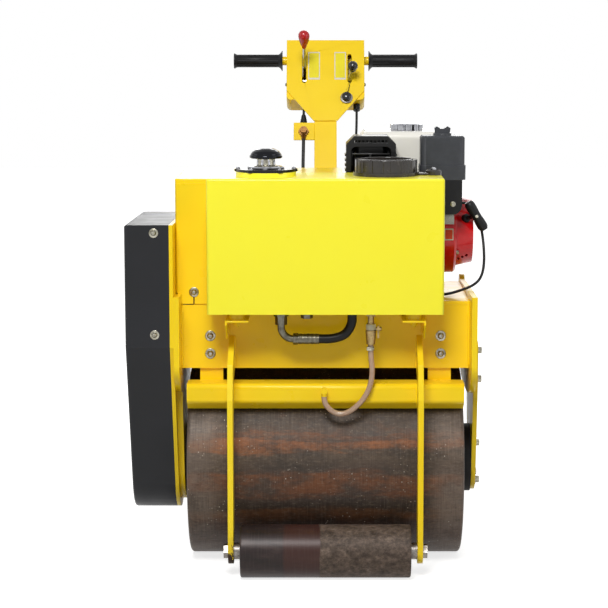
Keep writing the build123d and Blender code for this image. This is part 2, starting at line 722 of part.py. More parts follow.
CRANK_R = 12.0
CASE_FRAME = 6.0         # the crankcase stands this far inside its foot's ends
BARREL_IN = 26.0         # and the cylinder this far
with BuildPart() as engine_block:
    x_mid, x_len = span(CASE_LEFT, CASE_RIGHT)
    with BuildSketch(level(ENGINE_FOOT)):
        with Locations((x_mid, CRANK_Y)):
            Rectangle(x_len, FOOT_LENGTH)
    extrude(amount=FOOT_T)
    with BuildSketch(side(CASE_LEFT + CASE_FRAME)):
        with Locations((CRANK_Y, CRANK_Z)):
            Circle(CASE_R)
        with Locations((CRANK_Y, ENGINE_FOOT + FOOT_T)):
            Rectangle(FOOT_LENGTH - 28, 10)
        make_hull()
    extrude(amount=x_len - 2 * CASE_FRAME)
    # The finned cylinder leans forward out of the crankcase and carries its head.
    with BuildSketch(side(CASE_LEFT + BARREL_IN)):
        with Locations(Location((CYLINDER_Y, CYLINDER_Z), -CYLINDER_TILT)):
            with Locations((10, 0)):
                Rectangle(FINS * FIN_PITCH + HEAD_T, 2 * CYLINDER_BORE)
            for fin in range(FINS):
                with Locations((fin * FIN_PITCH - HEAD_T / 2, 0)):
                    Rectangle(FIN_T, 2 * FIN_HALF)
            with Locations((-1.5 * HEAD_T, 0)):
                Rectangle(HEAD_T, 2 * FIN_HALF - 8)
    extrude(amount=x_len - 2 * BARREL_IN)
    with BuildSketch(side(HOOD_RIGHT + RUN_CLEAR)):
        with Locations((CRANK_Y, CRANK_Z)):
            Circle(CRANK_R)
    extrude(amount=CASE_LEFT + CASE_FRAME - HOOD_RIGHT)
keep(engine_block.part, "engine_block")


def shroud_outline(inset):
    """The shroud's outline: round about the crank, square over the cylinder."""
    with Locations((CRANK_Y, CRANK_Z)):
        Circle(FAN_R - inset)
    front = SHROUD_FRONT + inset
    top = SHROUD_TOP - inset
    Polygon((front, CRANK_Z - FAN_R / 2), (front, SHROUD_TOP - 36), (front + 28, top), (CRANK_Y, top), align=None)
    make_hull()


with BuildPart() as fan_housing:
    with BuildSketch(side(CASE_RIGHT)):
        shroud_outline(0)
    extrude(amount=FAN_RIGHT - CASE_RIGHT)
    chamfer(fan_housing.faces().sort_by(Axis.X)[-1].edges(), 5)
    with BuildSketch(side(CASE_RIGHT)):
        shroud_outline(SHROUD_WALL)
    extrude(amount=FAN_RIGHT - CASE_RIGHT - SHROUD_WALL - 2, mode=Mode.SUBTRACT)
keep(fan_housing.part, "fan_housing")

with BuildPart() as recoil_starter:
    with BuildSketch(side(FAN_RIGHT)):
        with Locations((CRANK_Y, CRANK_Z)):
            Circle(RECOIL_R)
    extrude(amount=RECOIL_T, taper=RECOIL_TAPER)
    with BuildSketch(side(FAN_RIGHT)):
        with Locations((CRANK_Y, CRANK_Z)):
            Circle(RECOIL_R - SHROUD_WALL)
    extrude(amount=RECOIL_T - SHROUD_WALL, taper=RECOIL_TAPER, mode=Mode.SUBTRACT)
    # Cooling slots around the starter's face, and small round vents through its lower flanks.
    with BuildSketch(side(FAN_RIGHT + RECOIL_T)):
        with Locations((CRANK_Y, CRANK_Z)):
            with PolarLocations(0.62 * RECOIL_R, RECOIL_SLOTS):
                Rectangle(0.36 * RECOIL_R, 0.1 * RECOIL_R)
    extrude(amount=-2 * SHROUD_WALL, mode=Mode.SUBTRACT)
    with BuildSketch(facing(CRANK_Y - RECOIL_R)):
        with Locations((FAN_RIGHT + 6, VENT_Z - 4), (FAN_RIGHT + 15, VENT_Z), (FAN_RIGHT + 24, VENT_Z + 4)):
            Circle(VENT_R)
    extrude(amount=-2 * RECOIL_R, mode=Mode.SUBTRACT)
keep(recoil_starter.part, "recoil_starter")

with BuildPart() as fuel_tank:
    x_mid, x_len = TANK2_LEFT + TANK2_WIDTH / 2, TANK2_WIDTH
    y_mid, y_len = span(TANK2_FRONT, TANK2_BACK)
    with BuildSketch(level(TANK2_LOW)):
        with Locations((x_mid, y_mid)):
            RectangleRounded(x_len, y_len, 24)
    extrude(amount=TANK2_TOP - TANK2_LOW)
    fillet(fuel_tank.faces().sort_by(Axis.Z)[-1].edges(), 16)
    with BuildSketch(level(TANK2_LOW + SHROUD_WALL)):
        with Locations((x_mid, y_mid)):
            RectangleRounded(x_len - 2 * SHROUD_WALL, y_len - 2 * SHROUD_WALL, 24 - SHROUD_WALL)
    extrude(amount=TANK2_TOP - TANK2_LOW - SHROUD_WALL - 18, mode=Mode.SUBTRACT)
    with BuildSketch(level(TANK2_TOP - 18)):
        with Locations((x_mid, y_mid)):
            RectangleRounded(x_len - 26, y_len - 26, 12)
    extrude(amount=12, mode=Mode.SUBTRACT)
    with BuildSketch(level(TANK2_TOP)):
        with Locations((x_mid, CAP2_Y)):
            Circle(CAP2_R / 2)
    extrude(amount=-12, mode=Mode.SUBTRACT)
keep(fuel_tank.part, "fuel_tank")

with BuildPart() as fuel_tank_stays:
    for x in (TANK2_LEFT + 40, TANK2_LEFT + 110):
        with BuildSketch(level(TANK2_LOW)):
            with Locations((x, CRANK_Y)):
                Rectangle(24, 60)
        extrude(amount=CRANK_Z - TANK2_LOW)
    add(engine_block.part, mode=Mode.SUBTRACT)
keep(fuel_tank_stays.part, "fuel_tank_stays")

CAP2_LOBES = 8
with BuildPart() as fuel_cap:
    with BuildSketch(level(TANK2_TOP)):
        with Locations((TANK2_LEFT + TANK2_WIDTH / 2, CAP2_Y)):
            Circle(CAP2_R)
            with PolarLocations(CAP2_R + 4, CAP2_LOBES):
                Circle(9, mode=Mode.SUBTRACT)
    extrude(amount=CAP2_TOP - TANK2_TOP)
keep(fuel_cap.part, "fuel_cap")

GUARD_X, GUARD_LEN = GUARD_LEFT + GUARD_WIDTH / 2, GUARD_WIDTH
GUARD_Z, GUARD_H = span(GUARD_LOW, GUARD_TOP)


def guard_section(inset):
    """The guard's section at its open back, with cut corners."""
    with BuildSketch(facing(GUARD_BACK)) as section:
        with Locations((GUARD_X, GUARD_Z)):
            Rectangle(GUARD_LEN - 2 * inset, GUARD_H - 2 * inset)
        chamfer(section.vertices(), GUARD_CORNER - 0.6 * inset)
    return section.sketch


with BuildPart() as silencer_guard:
    extrude(guard_section(0), amount=GUARD_BACK - GUARD_FRONT)
    extrude(guard_section(GUARD_WALL), amount=GUARD_BACK - GUARD_FRONT - GUARD_WALL, mode=Mode.SUBTRACT)
    # A window that shows the silencer, a row of slots over it, and louvres down both sides.
    with BuildSketch(facing(GUARD_FRONT)):
        window_mid, window_len = span(GUARD_LOW + GUARD_FRAME, GUARD_TOP - GUARD_BROW)
        with Locations((GUARD_X, window_mid)):
            RectangleRounded(GUARD_LEN - 2 * GUARD_FRAME, window_len, GUARD_FRAME)
        with Locations((GUARD_X, GUARD_TOP - GUARD_BROW / 2)):
            with GridLocations(1.7 * BROW_SLOT, BROW_SLOT, BROW_SLOTS, 1):
                Rectangle(BROW_SLOT, BROW_SLOT)
    extrude(amount=-GUARD_WALL, mode=Mode.SUBTRACT)
    with BuildSketch(side(GUARD_LEFT)):
        louvre_mid, louvre_len = span(GUARD_FRONT + GUARD_FRAME, GUARD_BACK - GUARD_FRAME)
        with Locations((louvre_mid, GUARD_Z - GUARD_FRAME)):
            with GridLocations(louvre_len, LOUVRE_PITCH, 1, LOUVRES):
                Rectangle(louvre_len, LOUVRE_H)
    extrude(amount=GUARD_LEN, mode=Mode.SUBTRACT)
    with BuildSketch(level(GUARD_LOW)):
        with Locations((GUARD_X, EXHAUST_Y)):
            Circle(EXHAUST_R + RUN_CLEAR)
    extrude(amount=GUARD_WALL, mode=Mode.SUBTRACT)
keep(silencer_guard.part, "silencer_guard")

with BuildPart() as silencer:
    silencer_len = GUARD_LEN - 2 * SILENCER_IN
    y_mid, y_len = span(GUARD_FRONT + BARREL_R, GUARD_BACK)
    with BuildSketch(level(GUARD_LOW + GUARD_WALL)):
        with Locations((GUARD_X, y_mid)):
            RectangleRounded(silencer_len, y_len, 12)
    extrude(amount=GUARD_H - 2 * GUARD_WALL)
    # Its rolled front bulges towards the window.
    with BuildSketch(side(GUARD_X - silencer_len / 2)):
        with Locations((GUARD_FRONT + BARREL_R + 2 * GUARD_WALL, GUARD_Z + GUARD_WALL)):
            Circle(BARREL_R)
    extrude(amount=silencer_len)
    # The exhaust stub stands on the cylinder head.
    with BuildSketch(level(GUARD_LOW + GUARD_WALL)):
        with Locations((GUARD_X, EXHAUST_Y)):
            Circle(EXHAUST_R)
    extrude(amount=-2 * BARREL_R)
    add(engine_block.part, mode=Mode.SUBTRACT)
keep(silencer.part, "silencer")

CLEANER_X = CLEANER_LEFT + CLEANER_WIDTH / 2
with BuildPart() as air_cleaner:
    y_mid, y_len = span(CLEANER_FRONT, CLEANER_BACK)
    for foot, top, lip in ((CLEANER_LOW, CLEANER_SEAM, 0), (CLEANER_SEAM, CLEANER_TOP, CLEANER_LIP)):
        with BuildSketch(level(foot)):
            with Locations((CLEANER_X, y_mid)):
                RectangleRounded(CLEANER_WIDTH - 2 * lip, y_len - 2 * lip, CLEANER_CORNER - lip)
        extrude(amount=top - foot)
    chamfer(air_cleaner.faces().sort_by(Axis.Z)[-1].edges(), 4)
    with BuildSketch(level(CLEANER_TOP)):
        with Locations((CLEANER_X, y_mid)):
            Circle(WING_H)
    extrude(amount=WING_H / 4)
    with BuildSketch(facing(y_mid + WING_H / 3)):
        with Locations((CLEANER_X, CLEANER_TOP)):
            Polygon((-0.8 * WING_H, 0), (-0.9 * WING_H, 0.8 * WING_H), (-0.6 * WING_H, WING_H),
                    (-0.2 * WING_H, 0.75 * WING_H), (0.2 * WING_H, 0.75 * WING_H), (0.6 * WING_H, WING_H),
                    (0.9 * WING_H, 0.8 * WING_H), (0.8 * WING_H, 0), align=None)
    extrude(amount=2 * WING_H / 3)
keep(air_cleaner.part, "air_cleaner")

ELBOW_DEPTH = 40.0
with BuildPart() as intake_elbow:
    with BuildSketch(facing(INTAKE_Y + ELBOW_DEPTH / 2)):
        x_mid, x_len = span(ELBOW_LEFT, ELBOW_RIGHT)
        z_mid, z_len = span(ELBOW_LOW, CLEANER_LOW)
        with Locations((x_mid, z_mid)):
            Rectangle(x_len, z_len)
        fillet(vertices().group_by(Axis.Y)[0].sort_by(Axis.X)[-1], ELBOW_BEND_R)
    extrude(amount=ELBOW_DEPTH)
keep(intake_elbow.part, "intake_elbow")

# The carburettor's bore runs from the elbow into the cylinder head, with its bowl below.
CARB_Z = ELBOW_LOW + INTAKE_R
CARB_BODY = 22.0
with BuildPart() as carburettor:
    with BuildSketch(side(CASE_RIGHT - BARREL_IN)):
        with Locations((INTAKE_Y, CARB_Z)):
            Circle(INTAKE_R)
    extrude(amount=ELBOW_LEFT - CASE_RIGHT + BARREL_IN)
    with BuildSketch(side(ELBOW_LEFT - CARB_BODY)):
        z_mid, z_len = span(BOWL_LOW, CARB_Z + INTAKE_R + 4)
        with Locations((INTAKE_Y, z_mid)):
            Rectangle(ELBOW_DEPTH - 4, z_len)
    extrude(amount=CARB_BODY)
    z_mid, z_len = span(BOWL_LOW, ELBOW_LOW)
    with BuildSketch(side(ELBOW_LEFT - 1)):
        with Locations((INTAKE_Y, z_mid)):
            Rectangle(ELBOW_DEPTH - 10, z_len)
    extrude(amount=2 * CARB_BODY)
keep(carburettor.part, "carburettor")

# ================= handle =================
ARM_HALF = HANDLE_W / 2
EAR_IN = ARM_HALF + EAR_GAP
with BuildPart() as handle_ears:
    for end in (-1, 1):
        with BuildSketch(side(end * EAR_IN)):
            with Locations((PIVOT_Y, PIVOT_Z)):
                Circle(EAR_R)
            Polygon((FRAME_BACK, FRAME_TOP - EAR_FOOT), (FRAME_BACK, FRAME_TOP), (FRAME_BACK + 1, FRAME_TOP),
                    align=None)
            make_hull()
        extrude(amount=end * EAR_T)
    with BuildSketch(facing(FRAME_BACK)):
        with Locations((0, FRAME_TOP - 5 - EAR_BASE_H / 2)):
            Rectangle(2 * (EAR_IN + EAR_T + EAR_BASE_SIDE), EAR_BASE_H)
    extrude(amount=-EAR_BASE_T)
    with BuildSketch(side(-EAR_IN - EAR_T - PIVOT_R / 2)):
        with Locations((PIVOT_Y, PIVOT_Z)):
            Circle(PIVOT_R)
    extrude(amount=2 * (EAR_IN + EAR_T) + PIVOT_R)
keep(handle_ears.part, "handle_ears")

BOX_START = FACE_START + BOX_SKIRT
FACE_END = FACE_START + FACE_LENGTH
HANDLE_TOP = HANDLE_D / 2
with BuildPart() as handle_arm:
    with BuildSketch(on_handle(-HANDLE_TOP)):
        y_mid, y_len = span(0, BOX_START)
        with Locations((0, y_mid)):
            Rectangle(HANDLE_W, y_len)
    extrude(amount=HANDLE_D)
    with BuildSketch(side(-ARM_HALF)):
        with Locations((PIVOT_Y, PIVOT_Z)):
            Circle(HANDLE_TOP)
    extrude(amount=HANDLE_W)
    with BuildSketch(on_handle(-HANDLE_TOP + HANDLE_WALL)):
        y_mid, y_len = span(2 * HANDLE_TOP, BOX_START)
        with Locations((0, y_mid)):
            Rectangle(HANDLE_W - 2 * HANDLE_WALL, y_len)
    extrude(amount=HANDLE_D - 2 * HANDLE_WALL, mode=Mode.SUBTRACT)
    with BuildSketch(side(-ARM_HALF)):
        with Locations((PIVOT_Y, PIVOT_Z)):
            Circle(PIVOT_R + RUN_CLEAR)
    extrude(amount=HANDLE_W, mode=Mode.SUBTRACT)
    # Cast inlets through which the cables enter the arm.
    for end in (-1, 1):
        with BuildSketch(on_handle(-INLET_W / 2)):
            with Locations((end * (ARM_HALF + INLET_W / 2), INLET_TOP - INLET_L / 2)):
                Rectangle(INLET_W, INLET_L)
        extrude(amount=INLET_W)
keep(handle_arm.part, "handle_arm")


def lever_slots(foot, height):
    """The two slots of the levers, cut through the sheet that starts at foot."""
    slot_mid, slot_len = span(FACE_START + SLOT_LOW, FACE_START + SLOT_HIGH)
    with BuildSketch(on_handle(foot)) as slots:
        with Locations((TRAVEL_X, slot_mid), (THROTTLE_X, slot_mid)):
            SlotOverall(slot_len, SLOT_W, rotation=90)
    extrude(slots.sketch, amount=height, mode=Mode.SUBTRACT)


with BuildPart() as console_box:
    y_mid, y_len = span(BOX_START, FACE_END)
    with BuildSketch(on_handle(HANDLE_TOP)):
        with Locations((0, y_mid)):
            RectangleRounded(FACE_W, y_len, BOX_CORNER)
    extrude(amount=-BOX_D)
    with BuildSketch(on_handle(HANDLE_TOP - BOX_WALL)):
        with Locations((0, y_mid)):
            RectangleRounded(FACE_W - 2 * BOX_WALL, y_len - 2 * BOX_WALL, BOX_CORNER - BOX_WALL)
    extrude(amount=2 * BOX_WALL - BOX_D, mode=Mode.SUBTRACT)
    with BuildSketch(bar_plane(-FACE_W / 2)):
        with Locations((0, BAR_ALONG)):
            Circle(BAR_R + BAR_FIT)
    extrude(amount=FACE_W, mode=Mode.SUBTRACT)
    lever_slots(HANDLE_TOP - BOX_WALL, BOX_WALL)
keep(console_box.part, "console_box")

with BuildPart() as console_face:
    with BuildSketch(on_handle(HANDLE_TOP)):
        Polygon((-FACE_NECK / 2, FACE_START), (FACE_NECK / 2, FACE_START),
                (FACE_W / 2, FACE_START + FACE_SHOULDER), (FACE_W / 2, FACE_END),
                (-FACE_W / 2, FACE_END), (-FACE_W / 2, FACE_START + FACE_SHOULDER), align=None)
    extrude(amount=FACE_T)
    lever_slots(HANDLE_TOP, FACE_T)
keep(console_face.part, "console_face")

END_WALL = 4.0
with BuildPart() as handlebar:
    with BuildSketch(bar_plane(-GRIP_OUT + END_WALL)):
        with Locations((0, BAR_ALONG)):
            Circle(BAR_R)
    extrude(amount=2 * (GRIP_OUT - END_WALL))
keep(handlebar.part, "handlebar")

with BuildPart() as grips:
    for end in (-1, 1):
        for start, length, radius in ((GRIP_IN, GRIP_RIM, FLANGE_R), (GRIP_IN, GRIP_OUT - GRIP_IN, GRIP_R),
                                      (GRIP_OUT - GRIP_RIM, GRIP_RIM, GRIP_END_R)):
            with BuildSketch(bar_plane(end * start)):
                with Locations((0, BAR_ALONG)):
                    Circle(radius)
            extrude(amount=end * length)
        with BuildSketch(bar_plane(end * GRIP_IN)):
            with Locations((0, BAR_ALONG)):
                Circle(BAR_R + BAR_FIT)
        extrude(amount=end * (GRIP_OUT - GRIP_IN - END_WALL), mode=Mode.SUBTRACT)
keep(grips.part, "grips")


def lever_plane(x, along, reach):
    """A plane across a lever's rod, at its reach from the pivot."""
    base = on_handle(LEVER_DEPTH)
    tilt = math.radians(LEVER_TILT)
    out = base.z_dir * math.cos(tilt) + base.y_dir * math.sin(tilt)
    pivot = base.from_local_coords(Vector(x, along, 0))
    return Plane(origin=pivot + out * reach, x_dir=(1, 0, 0), z_dir=out)


# Each lever turns on a pin from the console's side wall and comes out through its slot. The throttle
# lever is joggled outwards between its slot and its ball.
BALL_X = THROTTLE_X + THROTTLE_SET
SLOT_OUT = 0.62 * THROTTLE_ROD
with BuildPart() as control_levers:
    for x, along, rod, end in ((TRAVEL_X, TRAVEL_ALONG, TRAVEL_ROD, -1), (THROTTLE_X, THROTTLE_ALONG, SLOT_OUT, 1)):
        with BuildSketch(lever_plane(x, along, 0)):
            Circle(LEVER_R)
        extrude(amount=rod)
        for start, length, radius in ((x - end * 6, 12, LEVER_HUB_R),
                                      (x, FACE_W / 2 - BOX_WALL - abs(x), LEVER_R)):
            with BuildSketch(bar_plane(start)):
                with Locations((BAR_DEPTH - LEVER_DEPTH, along)):
                    Circle(radius)
            extrude(amount=end * length)
    with BuildSketch(lever_plane(THROTTLE_X, THROTTLE_ALONG, SLOT_OUT)):
        Circle(LEVER_R)
    with BuildSketch(lever_plane(BALL_X, THROTTLE_ALONG, THROTTLE_ROD - BALL_R)):
        Circle(LEVER_R)
    loft()
keep(control_levers.part, "control_levers")

with BuildPart() as travel_knob:
    lathe(lever_plane(TRAVEL_X, TRAVEL_ALONG, TRAVEL_ROD),
          [(KNOB_FOOT_R, 0), (0.85 * KNOB_R, KNOB_L - 2 * KNOB_R), (KNOB_R, KNOB_L - KNOB_R)]
          + dome(KNOB_R, KNOB_R, KNOB_L - KNOB_R)[1:])
keep(travel_knob.part, "travel_knob")

with BuildPart() as throttle_knob:
    lower_half = [(radius, -height) for radius, height in dome(BALL_R, BALL_R, 0)[3:0:-1]]
    lathe(lever_plane(BALL_X, THROTTLE_ALONG, THROTTLE_ROD),
          [(lower_half[0][0], -BALL_R)] + lower_half + dome(BALL_R, BALL_R, 0))
keep(throttle_knob.part, "throttle_knob")

FACE_TOP = HANDLE_TOP + FACE_T
PUSH_COLLAR_R = 14.5
PUSH_NECK_R = 8.0
PUSH_DOME_R = 11.5
with BuildPart() as push_knob:
    push_base = Plane(origin=on_handle(FACE_TOP).from_local_coords(Vector(PUSH_X, PUSH_ALONG, 0)),
                      x_dir=(1, 0, 0), z_dir=on_handle(0).z_dir)
    lathe(push_base, [(PUSH_COLLAR_R, 0), (PUSH_COLLAR_R, 4), (PUSH_NECK_R, 4.5), (PUSH_NECK_R, 8),
                      (PUSH_DOME_R, 8.5), (PUSH_DOME_R, 12)] + dome(PUSH_DOME_R, 6, 12)[1:])
keep(push_knob.part, "push_knob")

# The travel cable's bracket on the arm's left side, with its adjuster and boot.
with BuildPart() as cable_bracket:
    with BuildSketch(on_handle(HANDLE_TOP - BRACKET_T)):
        with Locations((-ARM_HALF - BRACKET_W / 2, BRACKET_LOW + BRACKET_H / 2)):
            Rectangle(BRACKET_W, BRACKET_H)
    extrude(amount=BRACKET_T)
keep(cable_bracket.part, "cable_bracket")

ADJUSTER_ALONG = BRACKET_LOW + 20
BODY_R = 9.0
NUT_FLAT = BODY_R * math.cos(math.pi / 6)
with BuildPart() as cable_adjuster:
    for foot, height, radius in ((0, 7, 13), (7, 11, BODY_R)):
        with BuildSketch(on_handle(HANDLE_TOP + foot)):
            with Locations((CABLE_X, ADJUSTER_ALONG)):
                RegularPolygon(radius, 6)
        extrude(amount=height)
keep(cable_adjuster.part, "cable_adjuster")


def up_the_arm(x, along, height):
    """A plane across a cable that runs along the arm."""
    base = on_handle(height)
    return Plane(origin=base.from_local_coords(Vector(x, along, 0)), x_dir=(1, 0, 0), z_dir=base.y_dir)


# The travel cable's boot stands on its bracket, with a thin rod up to the console; the throttle cable's
# gland hangs from the console.
BOOT_L = 24.0
BOOT_R = 8.0
ROD_R = 3.0
GLAND_L = 16.0
with BuildPart() as cable_boots:
    boot_low = BRACKET_LOW + BRACKET_H
    boot_height = HANDLE_TOP - BRACKET_T - BOOT_R / 2
    with BuildSketch(up_the_arm(CABLE_X, boot_low, boot_height)):
        Circle(BOOT_R)
    with BuildSketch(up_the_arm(CABLE_X, boot_low + BOOT_L, boot_height)):
        Circle(BOOT_R / 2)
    loft()
    with BuildSketch(up_the_arm(CABLE_X, boot_low, boot_height)):
        Circle(ROD_R)
    extrude(amount=BOX_START - boot_low)
    with BuildSketch(up_the_arm(THROTTLE_CABLE_X, BOX_START - GLAND_L, -8)):
        Circle(BOOT_R)
    extrude(amount=GLAND_L)
keep(cable_boots.part, "cable_boots")

# ================= fittings under the tank =================
with BuildPart() as suction_pipe:
    for radius, height in ((16, 12), (13, 18)):
        with BuildSketch(level(TANK_LOW)):
            with Locations((ELBOW_X, FITTING_Y)):
                RegularPolygon(radius, 6)
        extrude(amount=-height if radius == 16 else -height - 12)
    with BuildLine() as bend:
        FilletPolyline((ELBOW_X, FITTING_Y, TANK_LOW - 30), (ELBOW_X, FITTING_Y, PIPE_Z),
                       (FERRULE_X, FITTING_Y, PIPE_Z), radius=26)
    path = bend.wire()
    with BuildSketch(Plane(origin=path @ 0, z_dir=path % 0)):
        Circle(PIPE_R)
    sweep(path=path)
    with BuildSketch(side(FERRULE_X)):
        with Locations((FITTING_Y, PIPE_Z)):
            Circle(PIPE_R + 3)
    extrude(amount=FERRULE_L)
keep(suction_pipe.part, "suction_pipe")

with BuildPart() as drain_plug:
    for radius, low, high in ((13, 6, 16), (9, 0, 6)):
        with BuildSketch(level(TANK_LOW - low)):
            with Locations((PLUG_X, FITTING_Y)):
                RegularPolygon(radius, 6)
        extrude(amount=low - high)
keep(drain_plug.part, "drain_plug")

with BuildPart() as water_tap:
    for radius, low, high in ((7, 0, 30), (TAP_R, 28, 50), (6, 50, TANK_LOW - TAP_LOW)):
        with BuildSketch(level(TANK_LOW - low)):
            with Locations((TAP_X, FITTING_Y)):
                Circle(radius)
        extrude(amount=low - high)
    with BuildSketch(side(TAP_X)):
        with Locations((FITTING_Y, TANK_LOW - 39)):
            Circle(4)
    extrude(amount=16)
    with BuildSketch(side(TAP_X + 14)):
        with Locations((FITTING_Y, TANK_LOW - 46)):
            Rectangle(8, 26)
    extrude(amount=4)
keep(water_tap.part, "water_tap")

# ================= recoil handle and stop cable's ends =================
GLAND_Y = 20.0
GLAND_Z = 786.0
GLAND_OUT = 8.0
GRIP_L = 72.0
ROPE_R = 5.0
with BuildPart() as recoil_handle:
    slant = Vector(0.52, 0, -0.854)
    middle = Vector(FAN_RIGHT + RECOIL_T + 4, -14, 760)
    with BuildSketch(Plane(origin=middle - slant * GRIP_L / 2, x_dir=(0, 1, 0), z_dir=slant)):
        RectangleRounded(20, 16, 7)
    extrude(amount=GRIP_L)
    with BuildSketch(Plane(origin=middle, x_dir=(1, 0, 0), z_dir=(-0.55, 0.8, -0.22))):
        Circle(ROPE_R)
    extrude(amount=60)
    # The rope ends on the starter's outer wall.
    with BuildSketch(side(FAN_RIGHT)):
        with Locations((CRANK_Y, CRANK_Z)):
            Circle(RECOIL_R)
    extrude(amount=RECOIL_T, taper=RECOIL_TAPER, mode=Mode.SUBTRACT)
keep(recoil_handle.part, "recoil_handle")

CLIP_X = FRAME_HALF - 96.0
CLIP_Y = -71.0
with BuildPart() as stop_cable_ends:
    with BuildSketch(side(FAN_RIGHT)):
        with Locations((GLAND_Y, GLAND_Z)):
            Circle(2 * STOP_CABLE_R)
    extrude(amount=GLAND_OUT)
    with BuildSketch(level(FRAME_TOP)):
        with Locations((CLIP_X - 12, CLIP_Y)):
            Rectangle(24, 12)
    extrude(amount=12)
keep(stop_cable_ends.part, "stop_cable_ends")

# ================= hoses and cables =================


def corner_radii(points):
    """The largest arc that each corner of a route leaves room for."""
    radii = []
    for a, b, c in zip(points, points[1:], points[2:]):
        before, after = Vector(b) - Vector(a), Vector(c) - Vector(b)
        half_turn = math.radians(before.get_angle(after)) / 2
        radii.append(0.45 * min(before.length, after.length) / math.tan(half_turn))
    return radii


def cord(points, radius, name):
    """A round cord along straight runs joined by tangent arcs."""
    radii = corner_radii(points)
    with BuildLine() as route:
        FilletPolyline(*points, radius=radii)
    path = route.wire()
    with BuildPart() as tube:
        with BuildSketch(Plane(origin=path @ 0, z_dir=path % 0)):
            Circle(radius)
        sweep(path=path)
    ideal = math.pi * radius ** 2 * path.length
    print(f"{name}: {path.length:.0f} long, volume {tube.part.volume / ideal:.3f} of ideal, radii",
          " ".join(f"{r:.0f}" for r in radii))
    keep(tube.part, name)


cord([(FERRULE_X + FERRULE_L, FITTING_Y, PIPE_Z), (14, FITTING_Y, PIPE_Z), (42, FITTING_Y, PIPE_Z + 8),
      (HOSE_END_X, FITTING_Y, PIPE_Z + 32), (HOSE_END_X, FITTING_Y, TANK_LOW)], HOSE_R, "suction_hose")

cord([(TAP_X, FITTING_Y, TAP_LOW), (TAP_X, FITTING_Y, 474), (TAP_X + 4, -202, 444), (TAP_X, -204, 412),
      (82, -206, 382), (60, -207, 361), (42, -207, 351), (23, -206, 351), (7, -204, 361),
      (SPIGOT_X, SPIGOT_Y, 376), (SPIGOT_X, SPIGOT_Y, SPIGOT_Z - NIPPLE_L)], WATER_HOSE_R, "water_hose")

cord([(FAN_RIGHT + GLAND_OUT, GLAND_Y, GLAND_Z), (320, GLAND_Y, GLAND_Z), (338, 17, 766), (347, 9, 733),
      (352, -6, 694), (352, -28, 654), (344, -46, 625), (326, -58, 610), (300, -66, 601), (272, -70, 593),
      (244, CLIP_Y, 590.6), (CLIP_X, CLIP_Y, 590.6)], STOP_CABLE_R, "stop_cable")


def on_arm(points):
    """Points given along the handle, as X, up the arm and over its middle, in the machine's frame."""
    base = on_handle(0)
    return [base.from_local_coords(Vector(*point)) for point in points]


CABLE_OUT = 32.0         # the travel cable's start, over the arm's middle
cord(on_arm([(CABLE_X, ADJUSTER_ALONG - NUT_FLAT, CABLE_OUT), (CABLE_X, 340, CABLE_OUT), (-54, 290, 26),
             (-54, 240, 18), (-51, 190, 9), (-45, 148, 3), (-36, 112, 0), (-36, INLET_TOP, 0)]),
     TRAVEL_CABLE_R, "travel_cable")

cord(on_arm([(THROTTLE_CABLE_X, BOX_START - GLAND_L, -8), (THROTTLE_CABLE_X, 404, -8), (72, 340, -6),
             (65, 290, -2), (57, 240, 1), (49, 190, 3), (41, 146, 2), (36, 114, 0), (36, INLET_TOP, 0)]),
     THROTTLE_CABLE_R, "throttle_cable")

# ================= writing =================
# The finished pieces are moved so that the origin lies on the floor under the middle of their common box.
os.makedirs("parts", exist_ok=True)
CORDS = ("water_hose", "stop_cable", "travel_cable", "throttle_cable")
boxes = [piece.bounding_box() for piece in pieces if piece.label not in CORDS]
x_mid, x_len = span(min(box.min.X for box in boxes), max(box.max.X for box in boxes))
y_mid, y_len = span(min(box.min.Y for box in boxes), max(box.max.Y for box in boxes))
for piece in pieces:
    name = piece.label
    placed = piece.moved(Location((-x_mid, -y_mid, 0)))
    placed.label = name
    export_step(placed, f"parts/{name}.step")
print(f"origin at X {x_mid:.3f}, Y {y_mid:.3f}; width {x_len:.1f}, length {y_len:.1f}")
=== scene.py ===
"""Dresses a walk-behind vibratory roller: enamelled plate, mill steel, engine trim, fasteners and cords."""
import logging
import math
from dataclasses import dataclass
from enum import Enum
from typing import Callable, ClassVar, Sequence

import bpy
from mathutils import Matrix, Vector


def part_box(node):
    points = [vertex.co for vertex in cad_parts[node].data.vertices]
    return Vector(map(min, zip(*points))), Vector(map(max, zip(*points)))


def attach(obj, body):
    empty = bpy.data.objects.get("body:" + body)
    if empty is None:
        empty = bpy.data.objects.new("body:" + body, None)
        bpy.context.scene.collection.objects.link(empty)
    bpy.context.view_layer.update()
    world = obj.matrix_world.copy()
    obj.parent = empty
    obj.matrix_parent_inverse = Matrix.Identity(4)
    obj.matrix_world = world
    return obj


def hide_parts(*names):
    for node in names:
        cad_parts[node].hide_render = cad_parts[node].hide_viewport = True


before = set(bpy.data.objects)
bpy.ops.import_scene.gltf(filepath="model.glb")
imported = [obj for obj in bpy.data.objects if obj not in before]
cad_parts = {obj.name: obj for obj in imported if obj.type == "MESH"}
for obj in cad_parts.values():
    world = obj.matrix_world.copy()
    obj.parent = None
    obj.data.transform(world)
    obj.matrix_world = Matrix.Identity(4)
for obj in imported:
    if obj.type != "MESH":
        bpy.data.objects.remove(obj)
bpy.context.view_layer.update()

LOG = logging.getLogger("roller")
MM = 0.001
Point = tuple[float, float, float]
Tree = bpy.types.NodeTree
Socket = bpy.types.NodeSocket
Piece = bpy.types.Object
Input = Socket | float | str | Point

